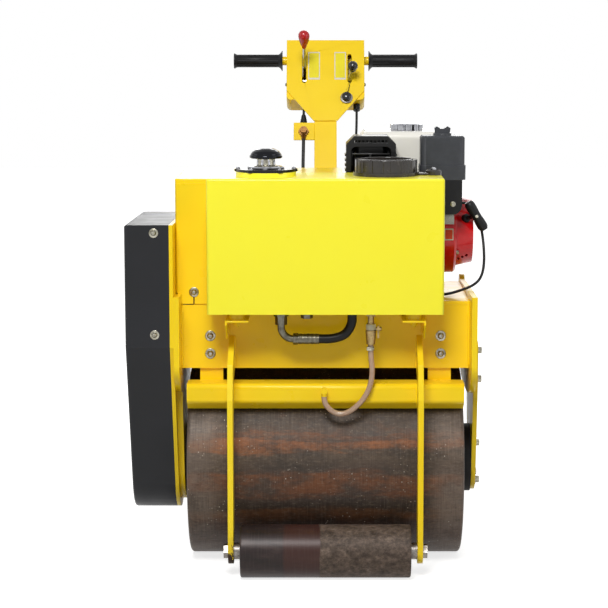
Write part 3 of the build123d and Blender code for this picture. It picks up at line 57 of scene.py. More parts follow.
# Millimetre places count from the floor under the middle of the drum: X right, Y back, Z up.
DRUM_LOW, DRUM_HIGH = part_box("drum")
DATUM = Vector(((DRUM_LOW.x + DRUM_HIGH.x) / 2, (DRUM_LOW.y + DRUM_HIGH.y) / 2, 0.0))
AXLE = 212.5                     # height of the drum's axle
FRONT_PLATE = -143.0             # Y of the frame's front face
BACK_PLATE = 200.0               # Y of its back face
PIVOT = (0.0, 270.0, 580.0)      # the folding handle's hinge
SLOPE = math.radians(62.1)       # of the folding handle over the floor
MACHINE = Matrix.Translation(DATUM)
# The handle's own axes: X right, Y up the arm from its pivot, Z out of its face.
HANDLE = MACHINE @ Matrix.Translation(Vector(PIVOT) * MM) @ Matrix.Rotation(SLOPE, 4, "X")


def at(x: float, y: float, z: float) -> Vector:
    """A place in millimetres from the datum, as a point of the row's frame in metres."""
    return DATUM + Vector((x, y, z)) * MM


def handle_at(x: float, along: float, height: float) -> Vector:
    """A place across, up and over the middle of the handle, in millimetres, as a point of the row's frame."""
    return HANDLE @ (Vector((x, along, height)) * MM)


class Way(Enum):
    """The way that a fastener's head or a turned piece's top points."""

    LEFT = (-1.0, 0.0, 0.0)
    RIGHT = (1.0, 0.0, 0.0)
    FRONT = (0.0, -1.0, 0.0)
    BACK = (0.0, 1.0, 0.0)
    UP = (0.0, 0.0, 1.0)
    DOWN = (0.0, 0.0, -1.0)
    UP_HANDLE = (0.0, math.cos(SLOPE), math.sin(SLOPE))
    DOWN_HANDLE = (0.0, -math.cos(SLOPE), -math.sin(SLOPE))
    OUT_OF_HANDLE = (0.0, -math.sin(SLOPE), math.cos(SLOPE))
    BEHIND_HANDLE = (0.0, math.sin(SLOPE), -math.cos(SLOPE))
    DOWN_RECOIL_GRIP = (0.52, 0.0, -0.854)
    ALONG_ROPE = (0.55, -0.8, 0.22)
    OIL_FILLER = (0.0, 1.0, 0.45)

    @property
    def vector(self) -> Vector:
        """The direction as a vector."""
        return Vector(self.value)


# ---------------------------------------------------------------- finishes


class Kind(Enum):
    """The shader nodes that the finishes and the stage are made of."""

    PLACE = "ShaderNodeTexCoord"
    GEOMETRY = "ShaderNodeNewGeometry"
    LIGHT_PATH = "ShaderNodeLightPath"
    MAPPING = "ShaderNodeMapping"
    AXES = "ShaderNodeSeparateXYZ"
    NOISE = "ShaderNodeTexNoise"
    CELLS = "ShaderNodeTexVoronoi"
    RANGE = "ShaderNodeMapRange"
    MATH = "ShaderNodeMath"
    VECTOR_MATH = "ShaderNodeVectorMath"
    MIX = "ShaderNodeMix"
    RAMP = "ShaderNodeValToRGB"
    BUMP = "ShaderNodeBump"


def linear(hex_colour: str) -> tuple[float, float, float, float]:
    """Turns an sRGB hex colour into linear values with full alpha.

    Args:
        hex_colour: six hex digits, such as "FFD21E".

    Returns:
        Red, green, blue and alpha for a shader socket.
    """
    channels = [int(hex_colour[i:i + 2], 16) / 255 for i in (0, 2, 4)]
    curve = [c / 12.92 if c <= 0.04045 else ((c + 0.055) / 1.055) ** 2.4 for c in channels]
    return (curve[0], curve[1], curve[2], 1.0)


def per_mm(size: float) -> float:
    """The texture scale at which a pattern's cells are size millimetres across."""
    return 1.0 / (size * MM)


def fill(tree: Tree, node: bpy.types.Node, inputs: dict[str | int, Input]) -> None:
    """Fills a node's sockets: another node's socket is linked, a hex colour made linear, the rest set.

    Args:
        tree: the node's tree.
        node: the node.
        inputs: what goes into its input sockets, by name or number.
    """
    for name, value in inputs.items():
        if isinstance(value, Socket):
            tree.links.new(value, node.inputs[name])
        else:
            node.inputs[name].default_value = linear(value) if isinstance(value, str) else value


def add_node(tree: Tree, kind: Kind, inputs: dict[str | int, Input] | None = None,
             **settings: str) -> bpy.types.Node:
    """Adds one shader node.

    Args:
        tree: the material's node tree.
        kind: what node it is.
        inputs: links and constants for its input sockets, by name or number.
        settings: properties to set on the node.

    Returns:
        The node.
    """
    node = tree.nodes.new(kind.value)
    for name, value in settings.items():
        setattr(node, name, value)
    fill(tree, node, inputs or {})
    return node


def overlay(tree: Tree, under: Input, over: str, pattern: Socket,
            low: float, high: float, most: float = 1.0) -> Socket:
    """Lays a colour over another where a pattern goes from low to high.

    Args:
        tree: the material's node tree.
        under: the colour below.
        over: the hex colour on top.
        pattern: what decides where it lies.
        low: the pattern's value at which it begins.
        high: the value at which it is full, below low where it lies in the pattern's dark parts.
        most: how much of it shows where it is full.

    Returns:
        The mixed colour.
    """
    mask = add_node(tree, Kind.RANGE, {"Value": pattern, "From Min": low, "From Max": high, "To Max": most})
    return add_node(tree, Kind.MIX, {0: mask.outputs[0], 6: under, 7: over}, data_type="RGBA").outputs[2]


def set_stops(ramp: bpy.types.ColorRamp, stops: Sequence[tuple[float, str]]) -> None:
    """Puts colours on a colour ramp.

    Args:
        ramp: the ramp of a node.
        stops: positions from 0 to 1 and hex colours.
    """
    while len(ramp.elements) < len(stops):
        ramp.elements.new(0.5)
    for element, (position, colour) in zip(ramp.elements, stops):
        element.position = position
        element.color = linear(colour)


@dataclass(frozen=True)
class Blotches:
    """A cloudy pattern whose cells have a real size, drawn out along the axes whose stretch is under 1."""

    cell: float              # in millimetres
    detail: float = 3.0
    roughness: float = 0.5
    stretch: Point = (1.0, 1.0, 1.0)

    def draw(self, tree: Tree, place: Socket) -> Socket:
        """Draws the pattern on Object coordinates.

        Args:
            tree: the material's node tree.
            place: the coordinates.

        Returns:
            The pattern, from 0 to 1.
        """
        drawn_out = add_node(tree, Kind.MAPPING, {"Vector": place, "Scale": self.stretch})
        return add_node(tree, Kind.NOISE, {
            "Vector": drawn_out.outputs["Vector"], "Scale": per_mm(self.cell), "Detail": self.detail,
            "Roughness": self.roughness}).outputs["Fac"]


@dataclass(frozen=True)
class Finish:
    """What every finish shares: a name, and a shader whose constants are set on its own sockets."""

    name: str

    def build(self) -> bpy.types.Material:
        """Builds the material.

        Returns:
            The material, its shader filled with what shade gives.
        """
        material = bpy.data.materials.new(self.name)
        material.use_nodes = True
        tree = material.node_tree
        place = add_node(tree, Kind.PLACE).outputs["Object"]
        fill(tree, tree.nodes["Principled BSDF"], self.shade(tree, place))
        return material

    def shade(self, tree: Tree, place: Socket) -> dict[str, Input]:
        """Builds the patterns of the finish.

        Args:
            tree: the material's node tree.
            place: Object coordinates.

        Returns:
            What goes into the shader's sockets.
        """
        raise NotImplementedError


@dataclass(frozen=True)
class Enamel(Finish):
    """Sprayed machine enamel: one even colour, a wet coat that mirrors at a glance, and soft orange peel."""

    colour: str = "FFD21E"
    shade_colour: str = "F2BE14"
    roughness: float = 0.32
    coat: float = 0.08
    specular: float = 0.2
    peel: float = 3.0        # width of an orange peel dimple, drawn coarse so that it shows
    dust: float = 0.06       # how much pale dust lies on faces that look up
    drift: Blotches = Blotches(260.0)        # slow changes of the colour
    flecks: Blotches = Blotches(9.0, 6.0)    # where the dust has settled
    wetness: Blotches = Blotches(45.0)       # where the coat flowed out better

    def shade(self, tree: Tree, place: Socket) -> dict[str, Input]:
        """Builds the patterns of the finish.

        Args:
            tree: the material's node tree.
            place: Object coordinates.

        Returns:
            What goes into the shader's sockets.
        """
        paint = overlay(tree, self.colour, self.shade_colour, self.drift.draw(tree, place), 0.35, 0.7)
        normal = add_node(tree, Kind.GEOMETRY).outputs["Normal"]
        upward = add_node(tree, Kind.RANGE, {"Value": add_node(tree, Kind.AXES, {0: normal}).outputs["Z"],
                                             "From Min": 0.6, "To Max": self.dust})
        fleck = add_node(tree, Kind.RANGE, {"Value": self.flecks.draw(tree, place), "From Min": 0.45,
                                            "From Max": 0.7, "To Min": 0.3})
        film = add_node(tree, Kind.MATH, {0: upward.outputs[0], 1: fleck.outputs[0]}, operation="MULTIPLY")
        dusty = add_node(tree, Kind.MIX, {0: film.outputs[0], 6: paint, 7: "CFC6B4"}, data_type="RGBA")
        wet = add_node(tree, Kind.RANGE, {"Value": self.wetness.draw(tree, place), "From Min": 0.3,
                                          "From Max": 0.7, "To Min": self.roughness - 0.05,
                                          "To Max": self.roughness + 0.06})
        dimples = Blotches(self.peel, 1.0).draw(tree, place)
        bump = add_node(tree, Kind.BUMP, {"Height": dimples, "Strength": 0.35, "Distance": 0.05 * MM})
        return {"Base Color": dusty.outputs[2], "Roughness": wet.outputs[0], "Normal": bump.outputs[0],
                "Specular IOR Level": self.specular, "Coat Weight": self.coat, "Coat Roughness": 0.06}


@dataclass(frozen=True)
class WornEnamel(Finish):
    """Enamel on plate that works near the ground: chipped to dark steel and smeared with soil low down."""

    colour: str = "FFE02A"
    bare: str = "3A2A1E"
    soil: str = "A67A22"
    low: float = 40.0        # below this height the wear is full, in millimetres
    high: float = 150.0      # above this height there is none
    chips: Blotches = Blotches(13.0, 8.0, 0.72, (1.0, 1.0, 0.55))

    def shade(self, tree: Tree, place: Socket) -> dict[str, Input]:
        """Builds the patterns of the finish.

        Args:
            tree: the material's node tree.
            place: Object coordinates.

        Returns:
            What goes into the shader's sockets.
        """
        height = add_node(tree, Kind.AXES, {0: place}).outputs["Z"]
        reach = add_node(tree, Kind.RANGE, {"Value": height, "From Min": self.low * MM,
                                            "From Max": self.high * MM, "To Min": 0.62, "To Max": 0.0})
        chips = self.chips.draw(tree, place)
        bitten = add_node(tree, Kind.MATH, {0: chips, 1: reach.outputs[0]}, operation="ADD").outputs[0]
        mask = add_node(tree, Kind.RANGE, {"Value": bitten, "From Min": 0.98, "From Max": 1.03}).outputs[0]
        soiled = overlay(tree, self.colour, self.soil, bitten, 0.78, 1.1, 0.45)
        worn = add_node(tree, Kind.MIX, {0: mask, 6: soiled, 7: self.bare}, data_type="RGBA")
        dull = add_node(tree, Kind.RANGE, {"Value": mask, "To Min": 0.34, "To Max": 0.75})
        down = add_node(tree, Kind.MATH, {0: mask, 1: -1.0}, operation="MULTIPLY")
        bump = add_node(tree, Kind.BUMP, {"Height": down.outputs[0], "Strength": 0.8, "Distance": 0.15 * MM})
        return {"Base Color": worn.outputs[2], "Roughness": dull.outputs[0], "Normal": bump.outputs[0],
                "Specular IOR Level": 0.2, "Coat Weight": 0.08, "Coat Roughness": 0.08}


@dataclass(frozen=True)
class MillSteel(Finish):
    """Hot rolled plate bent into a drum: bands of scale, rust and painted shade along it, ends rubbed grey,
    fine scoring.
    """

    middle: Point = (0.0, 0.0, AXLE)         # the axle, in millimetres from the datum
    reach: float = 300.0                     # half the drum's width
    fray: Blotches = Blotches(50.0, 10.0, 0.74, (0.16, 1.0, 1.0))        # the bands' ragged edges
    patches: Blotches = Blotches(56.0, 8.0, 0.7, (0.5, 1.0, 1.0))        # dark scale that held
    rust: Blotches = Blotches(90.0, 8.0, 0.68, (0.5, 1.0, 1.0))
    scores: Blotches = Blotches(1.8, 2.0, 0.5, (1.0, 0.03, 0.03))        # drawn wider than real, to show
    grain: Blotches = Blotches(5.0, 6.0, 0.75, (0.4, 1.0, 1.0))          # flakes, drawn coarse to show
    gritty: Blotches = Blotches(60.0)                                    # where grit has stuck
    grit: float = 9.0                                                    # from one speck to the next
    # The colour at each angle round the axle, in degrees from the machine's back.
    # The dark greys from 27 to 62 degrees are painted shade, where the scraper shades the top of the drum's
    # face.
    bands: tuple[tuple[float, str], ...] = (
        (-180, "42342B"), (-150, "573F2F"), (-122, "332923"), (-96, "5E3F2B"), (-76, "2E211A"),
        (-50, "332118"), (-30, "3C2619"), (-24, "5A3A23"), (-19, "342A23"), (-12, "3B3029"), (-8, "643E28"),
        (0, "6C432A"),
        (4, "463A32"), (14, "54473B"), (17, "885534"), (21, "825030"), (23, "42372E"), (25, "6A432A"),
        (27, "483B31"), (36, "3E342C"), (62, "392F28"), (90, "5E412D"), (112, "382F29"), (142, "543E2F"),
        (166, "332923"), (180, "42342B"))

    def shade(self, tree: Tree, place: Socket) -> dict[str, Input]:
        """Builds the patterns of the finish.

        Args:
            tree: the material's node tree.
            place: Object coordinates.

        Returns:
            What goes into the shader's sockets.
        """
        centre = at(*self.middle)
        moved = add_node(tree, Kind.MAPPING, {"Vector": place, "Location": (-centre.x, centre.y, -centre.z),
                                              "Scale": (1.0, -1.0, 1.0)})
        axes = add_node(tree, Kind.AXES, {0: moved.outputs[0]}).outputs
        patches, rust = self.patches.draw(tree, place), self.rust.draw(tree, place)
        scores, grain = self.scores.draw(tree, place), self.grain.draw(tree, place)
        colour = overlay(tree, self.banded(tree, place, axes), "352E28", patches, 0.46, 0.64, 0.85)
        colour = overlay(tree, colour, "5E3824", rust, 0.56, 0.72, 0.5)
        rubbed = add_node(tree, Kind.MIX, {0: self.rubbed(tree, axes["X"], rust), 6: colour, 7: "71645A"},
                          data_type="RGBA")
        colour = overlay(tree, rubbed.outputs[2], "8D8076", scores, 0.52, 0.74, 0.14)
        colour = overlay(tree, colour, "1D1613", scores, 0.46, 0.3, 0.26)
        colour = overlay(tree, colour, "8A7B6C", grain, 0.52, 0.7, 0.3)
        colour = overlay(tree, colour, "1F1814", grain, 0.46, 0.32, 0.4)
        speckled = add_node(tree, Kind.MIX, {0: self.specks(tree, place), 6: colour, 7: "B4A99C"},
                            data_type="RGBA")
        dull = add_node(tree, Kind.RANGE, {"Value": patches, "From Min": 0.3, "From Max": 0.7, "To Min": 0.6,
                                           "To Max": 0.42})
        rough = add_node(tree, Kind.MATH, {0: grain, 1: patches}, operation="ADD")
        bump = add_node(tree, Kind.BUMP, {"Height": rough.outputs[0], "Strength": 0.6, "Distance": 0.25 * MM})
        return {"Base Color": speckled.outputs[2], "Roughness": dull.outputs[0], "Normal": bump.outputs[0],
                "Metallic": 0.15, "Specular IOR Level": 0.25}

    def banded(self, tree: Tree, place: Socket,
               axes: bpy.types.bpy_prop_collection) -> Socket:
        """Colours the bands of scale, rust and painted shade by the angle round the axle, with ragged edges.

        Args:
            tree: the material's node tree.
            place: Object coordinates.
            axes: the place from the axle, as X, Y and Z.

        Returns:
            The bands' colour.
        """
        angle = add_node(tree, Kind.MATH, {0: axes["Z"], 1: axes["Y"]}, operation="ARCTAN2")
        turn = add_node(tree, Kind.RANGE, {"Value": angle.outputs[0], "From Min": -math.pi,
                                           "From Max": math.pi})
        ragged = add_node(tree, Kind.RANGE, {"Value": self.fray.draw(tree, place), "From Min": 0.25,
                                             "From Max": 0.75, "To Min": -0.02, "To Max": 0.02})
        shifted = add_node(tree, Kind.MATH, {0: turn.outputs[0], 1: ragged.outputs[0]}, operation="ADD")
        ramp = add_node(tree, Kind.RAMP, {"Fac": shifted.outputs[0]})
        set_stops(ramp.color_ramp, [(degrees / 360 + 0.5, colour) for degrees, colour in self.bands])
        return ramp.outputs["Color"]

    def rubbed(self, tree: Tree, along: Socket,
               rust: Socket) -> Socket:
        """Finds where the drum's ends are rubbed to a grey.

        Args:
            tree: the material's node tree.
            along: the distance along the axle from the drum's middle.
            rust: the rust's pattern.

        Returns:
            How far the steel is rubbed.
        """
        out = add_node(tree, Kind.MATH, {0: along}, operation="ABSOLUTE")
        ends = add_node(tree, Kind.RANGE, {"Value": out.outputs[0], "From Min": 0.7 * self.reach * MM,
                                           "From Max": 0.86 * self.reach * MM})
        patchy = add_node(tree, Kind.RANGE, {"Value": rust, "From Min": 0.35, "From Max": 0.6, "To Min": 0.1,
                                             "To Max": 0.7})
        both = add_node(tree, Kind.MATH, {0: ends.outputs[0], 1: patchy.outputs[0]}, operation="MULTIPLY")
        return both.outputs[0]

    def specks(self, tree: Tree, place: Socket) -> Socket:
        """Strews pale grit, in patches.

        Args:
            tree: the material's node tree.
            place: Object coordinates.

        Returns:
            Where the grit is.
        """
        grit = add_node(tree, Kind.CELLS, {"Scale": per_mm(self.grit), "Randomness": 1.0, "Vector": place})
        dots = add_node(tree, Kind.RANGE, {"Value": grit.outputs["Distance"], "From Min": 0.17,
                                           "From Max": 0.1})
        where = add_node(tree, Kind.RANGE, {"Value": self.gritty.draw(tree, place), "From Min": 0.5,
                                            "From Max": 0.66})
        both = add_node(tree, Kind.MATH, {0: dots.outputs[0], 1: where.outputs[0]}, operation="MULTIPLY")
        return both.outputs[0]


@dataclass(frozen=True)
class RollerSteel(Finish):
    """A pipe used as a roller: oiled and dark to one side of a seam, mottled grey scale beyond it."""

    seam: float = 0.0        # the seam's X in the row's frame, in metres
    smooth: str = "2E2322"
    stripe: str = "40251F"
    mottled: str = "63544A"
    wobble: Blotches = Blotches(40.0, 4.0)                               # how the seam wanders
    grain: Blotches = Blotches(13.0, 9.0, 0.75, (0.8, 1.0, 1.0))         # scale
    sheen: Blotches = Blotches(30.0, 5.0, 0.6, (0.25, 1.0, 1.0))         # oil
    rings: Blotches = Blotches(2.2, 2.0, 0.5, (1.0, 0.04, 0.04))         # wear, drawn wider than real

    def shade(self, tree: Tree, place: Socket) -> dict[str, Input]:
        """Builds the patterns of the finish.

        Args:
            tree: the material's node tree.
            place: Object coordinates.

        Returns:
            What goes into the shader's sockets.
        """
        across = add_node(tree, Kind.AXES, {0: place}).outputs["X"]
        wobble = add_node(tree, Kind.RANGE, {"Value": self.wobble.draw(tree, place), "From Min": 0.3,
                                             "From Max": 0.7, "To Min": -2.0 * MM, "To Max": 2.0 * MM})
        edge = add_node(tree, Kind.MATH, {0: across, 1: wobble.outputs[0]}, operation="ADD").outputs[0]
        grain = self.grain.draw(tree, place)
        scale = add_node(tree, Kind.RAMP, {"Fac": grain})
        set_stops(scale.color_ramp, ((0.36, "30261F"), (0.48, "4C4037"), (0.58, self.mottled),
                                     (0.7, "857566")))
        oiled = add_node(tree, Kind.RAMP, {"Fac": self.sheen.draw(tree, place)})
        set_stops(oiled.color_ramp, ((0.35, "1F1817"), (0.55, self.smooth), (0.75, "4C3E3A")))
        stripe_ends = (self.seam - 80.0 * MM, self.seam - 74.0 * MM)
        left = overlay(tree, oiled.outputs["Color"], self.stripe, edge, *stripe_ends, 0.75)
        side = add_node(tree, Kind.RANGE, {"Value": edge, "From Min": self.seam - 1.5 * MM,
                                           "From Max": self.seam + 1.5 * MM}).outputs[0]
        both = add_node(tree, Kind.MIX, {0: side, 6: left, 7: scale.outputs["Color"]}, data_type="RGBA")
        colour = overlay(tree, both.outputs[2], "7E736B", self.rings.draw(tree, place), 0.5, 0.75, 0.07)
        dull = add_node(tree, Kind.RANGE, {"Value": side, "To Min": 0.36, "To Max": 0.6})
        bump = add_node(tree, Kind.BUMP, {"Height": grain, "Strength": 0.5, "Distance": 0.3 * MM})
        return {"Base Color": colour, "Roughness": dull.outputs[0], "Normal": bump.outputs[0],
                "Metallic": 0.05, "Specular IOR Level": 0.25}


@dataclass(frozen=True)
class PlatedMetal(Finish):
    """Plated or polished metal: a bright body that shows the room, blurred and stained as its plating is."""

    colour: str = "C9C7C0"
    stain: str = "A79F8C"
    roughness: float = 0.28
    spread: float = 0.08
    mottle: float = 5.0      # size of a stain in millimetres
    amount: float = 0.8

    def shade(self, tree: Tree, place: Socket) -> dict[str, Input]:
        """Builds the patterns of the finish.

        Args:
            tree: the material's node tree.
            place: Object coordinates.

        Returns:
            What goes into the shader's sockets.
        """
        cloud = Blotches(self.mottle, 5.0, 0.6).draw(tree, place)
        blurred = add_node(tree, Kind.RANGE, {"Value": cloud, "From Min": 0.3, "From Max": 0.7,
                                              "To Min": self.roughness - self.spread,
                                              "To Max": self.roughness + self.spread})
        bump = add_node(tree, Kind.BUMP, {"Height": cloud, "Strength": 0.3, "Distance": 0.04 * MM})
        return {"Base Color": overlay(tree, self.colour, self.stain, cloud, 0.42, 0.7, self.amount),
                "Roughness": blurred.outputs[0], "Normal": bump.outputs[0], "Metallic": 1.0}


@dataclass(frozen=True)
class Moulded(Finish):
    """Moulded plastic or rubber: coloured all through, with a fine spark-eroded or matt moulded grain."""

    colour: str = "1B1B1D"
    bloom: str = "2C2C30"
    roughness: float = 0.45
    grain: float = 1.6       # grain size, drawn coarser than real so that it shows
    relief: float = 0.08
    specular: float = 0.2
    coat: float = 0.0
    clear: float = 0.0       # how much light passes through
    haze: Blotches = Blotches(24.0, 5.0, 0.6)

    def shade(self, tree: Tree, place: Socket) -> dict[str, Input]:
        """Builds the patterns of the finish.

        Args:
            tree: the material's node tree.
            place: Object coordinates.

        Returns:
            What goes into the shader's sockets.
        """
        haze = self.haze.draw(tree, place)
        dull = add_node(tree, Kind.RANGE, {"Value": haze, "From Min": 0.3, "From Max": 0.7,
                                           "To Min": self.roughness - 0.06, "To Max": self.roughness + 0.08})
        grains = Blotches(self.grain, 2.0).draw(tree, place)
        bump = add_node(tree, Kind.BUMP, {"Height": grains, "Strength": 0.5, "Distance": self.relief * MM})
        return {"Base Color": overlay(tree, self.colour, self.bloom, haze, 0.4, 0.75),
                "Roughness": dull.outputs[0], "Normal": bump.outputs[0], "Specular IOR Level": self.specular,
                "Coat Weight": self.coat, "Coat Roughness": 0.05, "Transmission Weight": self.clear}


@dataclass(frozen=True)
class CastMetal(Finish):
    """Die-cast alloy: dull, faintly pebbled, with grey oil film in the pits."""

    colour: str = "8E8D88"
    pit: str = "4E4C48"
    oil: str = "5B564E"
    pebble: Blotches = Blotches(2.4, 6.0, 0.7)       # drawn coarser than real so that it shows
    film: Blotches = Blotches(38.0, 5.0)

    def shade(self, tree: Tree, place: Socket) -> dict[str, Input]:
        """Builds the patterns of the finish.

        Args:
            tree: the material's node tree.
            place: Object coordinates.

        Returns:
            What goes into the shader's sockets.
        """
        pebble, film = self.pebble.draw(tree, place), self.film.draw(tree, place)
        pitted = overlay(tree, self.colour, self.pit, pebble, 0.5, 0.3)
        dull = add_node(tree, Kind.RANGE, {"Value": film, "From Min": 0.3, "From Max": 0.7, "To Min": 0.5,
                                           "To Max": 0.65})
        bump = add_node(tree, Kind.BUMP, {"Height": pebble, "Strength": 0.5, "Distance": 0.3 * MM})
        return {"Base Color": overlay(tree, pitted, self.oil, film, 0.5, 0.75, 0.6),
                "Roughness": dull.outputs[0], "Normal": bump.outputs[0], "Metallic": 0.75}


class Palette:
    """Every finish of the machine, built once and shared."""

    FINISHES: tuple[Finish, ...] = (
        # Sprayed enamels: an even colour with a thin wet coat, so that bends catch a soft line of light.
        Enamel("machine_yellow_enamel", colour="FFDC1A", shade_colour="FBD414"),
        Enamel("tank_lemon_enamel", colour="FFF634", shade_colour="FFF22E", coat=0.12, specular=0.3),
        # Powder coat: nearly black and half matt, with a fine dense peel.
        Enamel("charcoal_powder_coat", colour="1F2025", shade_colour="191A1C", roughness=0.4, coat=0.08,
               specular=0.2, peel=1.8, dust=0.02),
        # Baked engine enamels: smoother and glossier than the frame's.
        Enamel("engine_red_enamel", colour="DE0C14", shade_colour="CC0A12", roughness=0.22, coat=0.2,
               specular=0.3, dust=0.0),
        Enamel("fuel_tank_white_enamel", colour="F7F4EB", shade_colour="EEEBE0", roughness=0.3, coat=0.4,
               dust=0.02),
        # Heat-proof black, dulled by the silencer's heat.
        Enamel("silencer_black_enamel", colour="0E0E10", shade_colour="151414", roughness=0.36, coat=0.2,
               dust=0.02),
        # Enamel knocked off by gravel: dark bites and soil at the foot, whole paint above.
        WornEnamel("chipped_arm_enamel"),
        # Bare rolled plate: brown and slate bands with dull scoring.
        MillSteel("rolled_plate_with_scale"),
        # Bare pipe: one half rubbed dark with oil, the other grey and scaly.
        RollerSteel("roller_pipe_steel", seam=DATUM.x - 0.012),
        # Zinc: a grey, faintly yellow metal with cloudy stains.
        PlatedMetal("zinc_plated_steel", colour="A5A295", stain="5D573F", roughness=0.28, mottle=7.0),
        # Passivated fittings: darker than zinc and more blurred.
        PlatedMetal("passivated_fitting_steel", colour="6C695E", stain="37332A", roughness=0.36, mottle=8.0),
        # Turned steel left bare: dull grey with brown stains.
        PlatedMetal("bare_axle_steel", colour="8A8681", stain="4B4038", roughness=0.4, mottle=9.0),
        # Chrome: sharp reflections of the floor and the sky.
        PlatedMetal("chrome_plate", colour="B4B5B9", stain="6E6F74", roughness=0.1, spread=0.04, mottle=11.0),
        PlatedMetal("black_chrome", colour="26272A", stain="1B1B1E", roughness=0.12, spread=0.05, amount=0.3),
        # Bronze and brass: warm, dull metal with brown stains.
        PlatedMetal("bronze_fitting", colour="7E5A34", stain="3C2917", roughness=0.34, mottle=4.0),
        PlatedMetal("brass_tap_body", colour="A38D62", stain="5E4E34", roughness=0.4, mottle=5.0),
        # Rubbers: black that greys a little in the light, with a matt grain.
        Moulded("grip_rubber", colour="111113", bloom="19191B", roughness=0.45),
        Moulded("hose_rubber", colour="0D0D0F", bloom="151517", roughness=0.36, grain=1.2),
        Moulded("mount_rubber", colour="151515", bloom="211F1D", roughness=0.62),
        # Knobs of hard polished plastic: one small, sharp highlight.
        Moulded("ball_knob_phenolic", colour="0E0E10", bloom="141417", roughness=0.16, relief=0.01, coat=0.5),
        Moulded("lever_knob_red", colour="B80A14", bloom="C51018", roughness=0.2, relief=0.01, coat=0.4),
        # Moulded covers: dark grey or black with a satin grain.
        Moulded("air_cleaner_plastic", colour="35373B", bloom="3D3F44", roughness=0.4, specular=0.3),
        Moulded("black_engine_plastic", colour="121214", bloom="1B1B1D", roughness=0.36),
        # The filler cap: smooth smoky brown plastic with soft reflections.
        Moulded("filler_cap_plastic", colour="26221F", bloom="332D28", roughness=0.22, relief=0.02,
                specular=0.4, coat=0.3),
        # Clear hose gone tan with age: light comes part of the way through.
        Moulded("clear_water_hose", colour="CDAF95", bloom="B8937A", roughness=0.22, relief=0.02, coat=0.4,
                clear=0.35),
        # Printed film on plates and labels: flat colour with a dull sheen.
        Moulded("plate_border_white", colour="E2DFD2", bloom="D6D2C2", roughness=0.35, relief=0.01),
        Moulded("plate_field_yellow", colour="F4E62A", bloom="E9D926", roughness=0.35, relief=0.01),
        Moulded("spare_label_orange", colour="E4502A", bloom="DA4824", roughness=0.35, relief=0.01),
        # Die-cast alloy: dull light grey with oil in the pits.
        CastMetal("die_cast_alloy"),
    )

    def __init__(self) -> None:
        """Builds the materials."""
        self.materials = {finish.name: finish.build() for finish in self.FINISHES}

    def __getitem__(self, name: str) -> bpy.types.Material:
        """Gives the material of that name."""
        return self.materials[name]


# ---------------------------------------------------------------- modelling


CREASE = 35.0                    # degrees by which an edge turns before it is left sharp
BEVEL_FROM = math.radians(40.0)  # the turn from which an edge is bevelled


def clear_selection() -> None:
    """Leaves edit mode and deselects every object."""
    if bpy.context.object is not None and bpy.context.object.mode != "OBJECT":
        bpy.ops.object.mode_set(mode="OBJECT")
    bpy.ops.object.select_all(action="DESELECT")


def pick(piece: Piece) -> None:
    """Makes a piece the only selected and the active one.

    Args:
        piece: the piece.
    """
    clear_selection()
    piece.select_set(True)
    bpy.context.view_layer.objects.active = piece


def select_faces(piece: Piece, wanted: Callable[[Vector, Vector], bool]) -> None:
    """Selects, in edit mode, the faces for which wanted(centre, normal) holds.

    Args:
        piece: the object being edited.
        wanted: a test of a face's centre and normal, in the object's own metres.
    """
    bpy.ops.mesh.select_all(action="DESELECT")
    bpy.ops.object.mode_set(mode="OBJECT")
    for face in piece.data.polygons:
        face.select = wanted(face.center, face.normal)
    bpy.ops.object.mode_set(mode="EDIT")


def smooth(piece: Piece, angle: float = CREASE) -> None:
    """Shades a piece smooth across edges that turn less than angle degrees."""
    pick(piece)
    bpy.ops.object.shade_smooth_by_angle(angle=math.radians(angle))


def turned(name: str, stations: Sequence[tuple[float, float]], sides: int = 32,
           crease: float = CREASE) -> Piece:
    """Turns a closed piece about Z: a disc is extruded and sized from station to station.

    Args:
        name: the piece's name.
        stations: heights and radii in millimetres, from the closed foot to the closed top.
        sides: how many sides the disc has.
        crease: edges that turn more than this many degrees stay sharp.

    Returns:
        The piece, standing on the origin.
    """
    clear_selection()
    height, radius = stations[0]
    bpy.ops.mesh.primitive_circle_add(vertices=sides, radius=radius * MM, fill_type="NGON",
                                      location=(0, 0, height * MM))
    piece = bpy.context.object
    piece.name = name
    bpy.ops.object.transform_apply(location=True, rotation=False, scale=False)
    bpy.ops.object.mode_set(mode="EDIT")
    bpy.ops.mesh.select_all(action="SELECT")
    for (low, wide), (high, narrow) in zip(stations, stations[1:]):
        bpy.ops.mesh.extrude_region_move(TRANSFORM_OT_translate={"value": (0, 0, (high - low) * MM)})
        factor = narrow / wide
        bpy.ops.transform.resize(value=(factor, factor, 1.0), center_override=(0, 0, high * MM))
    bpy.ops.mesh.select_all(action="SELECT")
    bpy.ops.mesh.normals_make_consistent(inside=False)
    bpy.ops.object.mode_set(mode="OBJECT")
    smooth(piece, crease)
    return piece


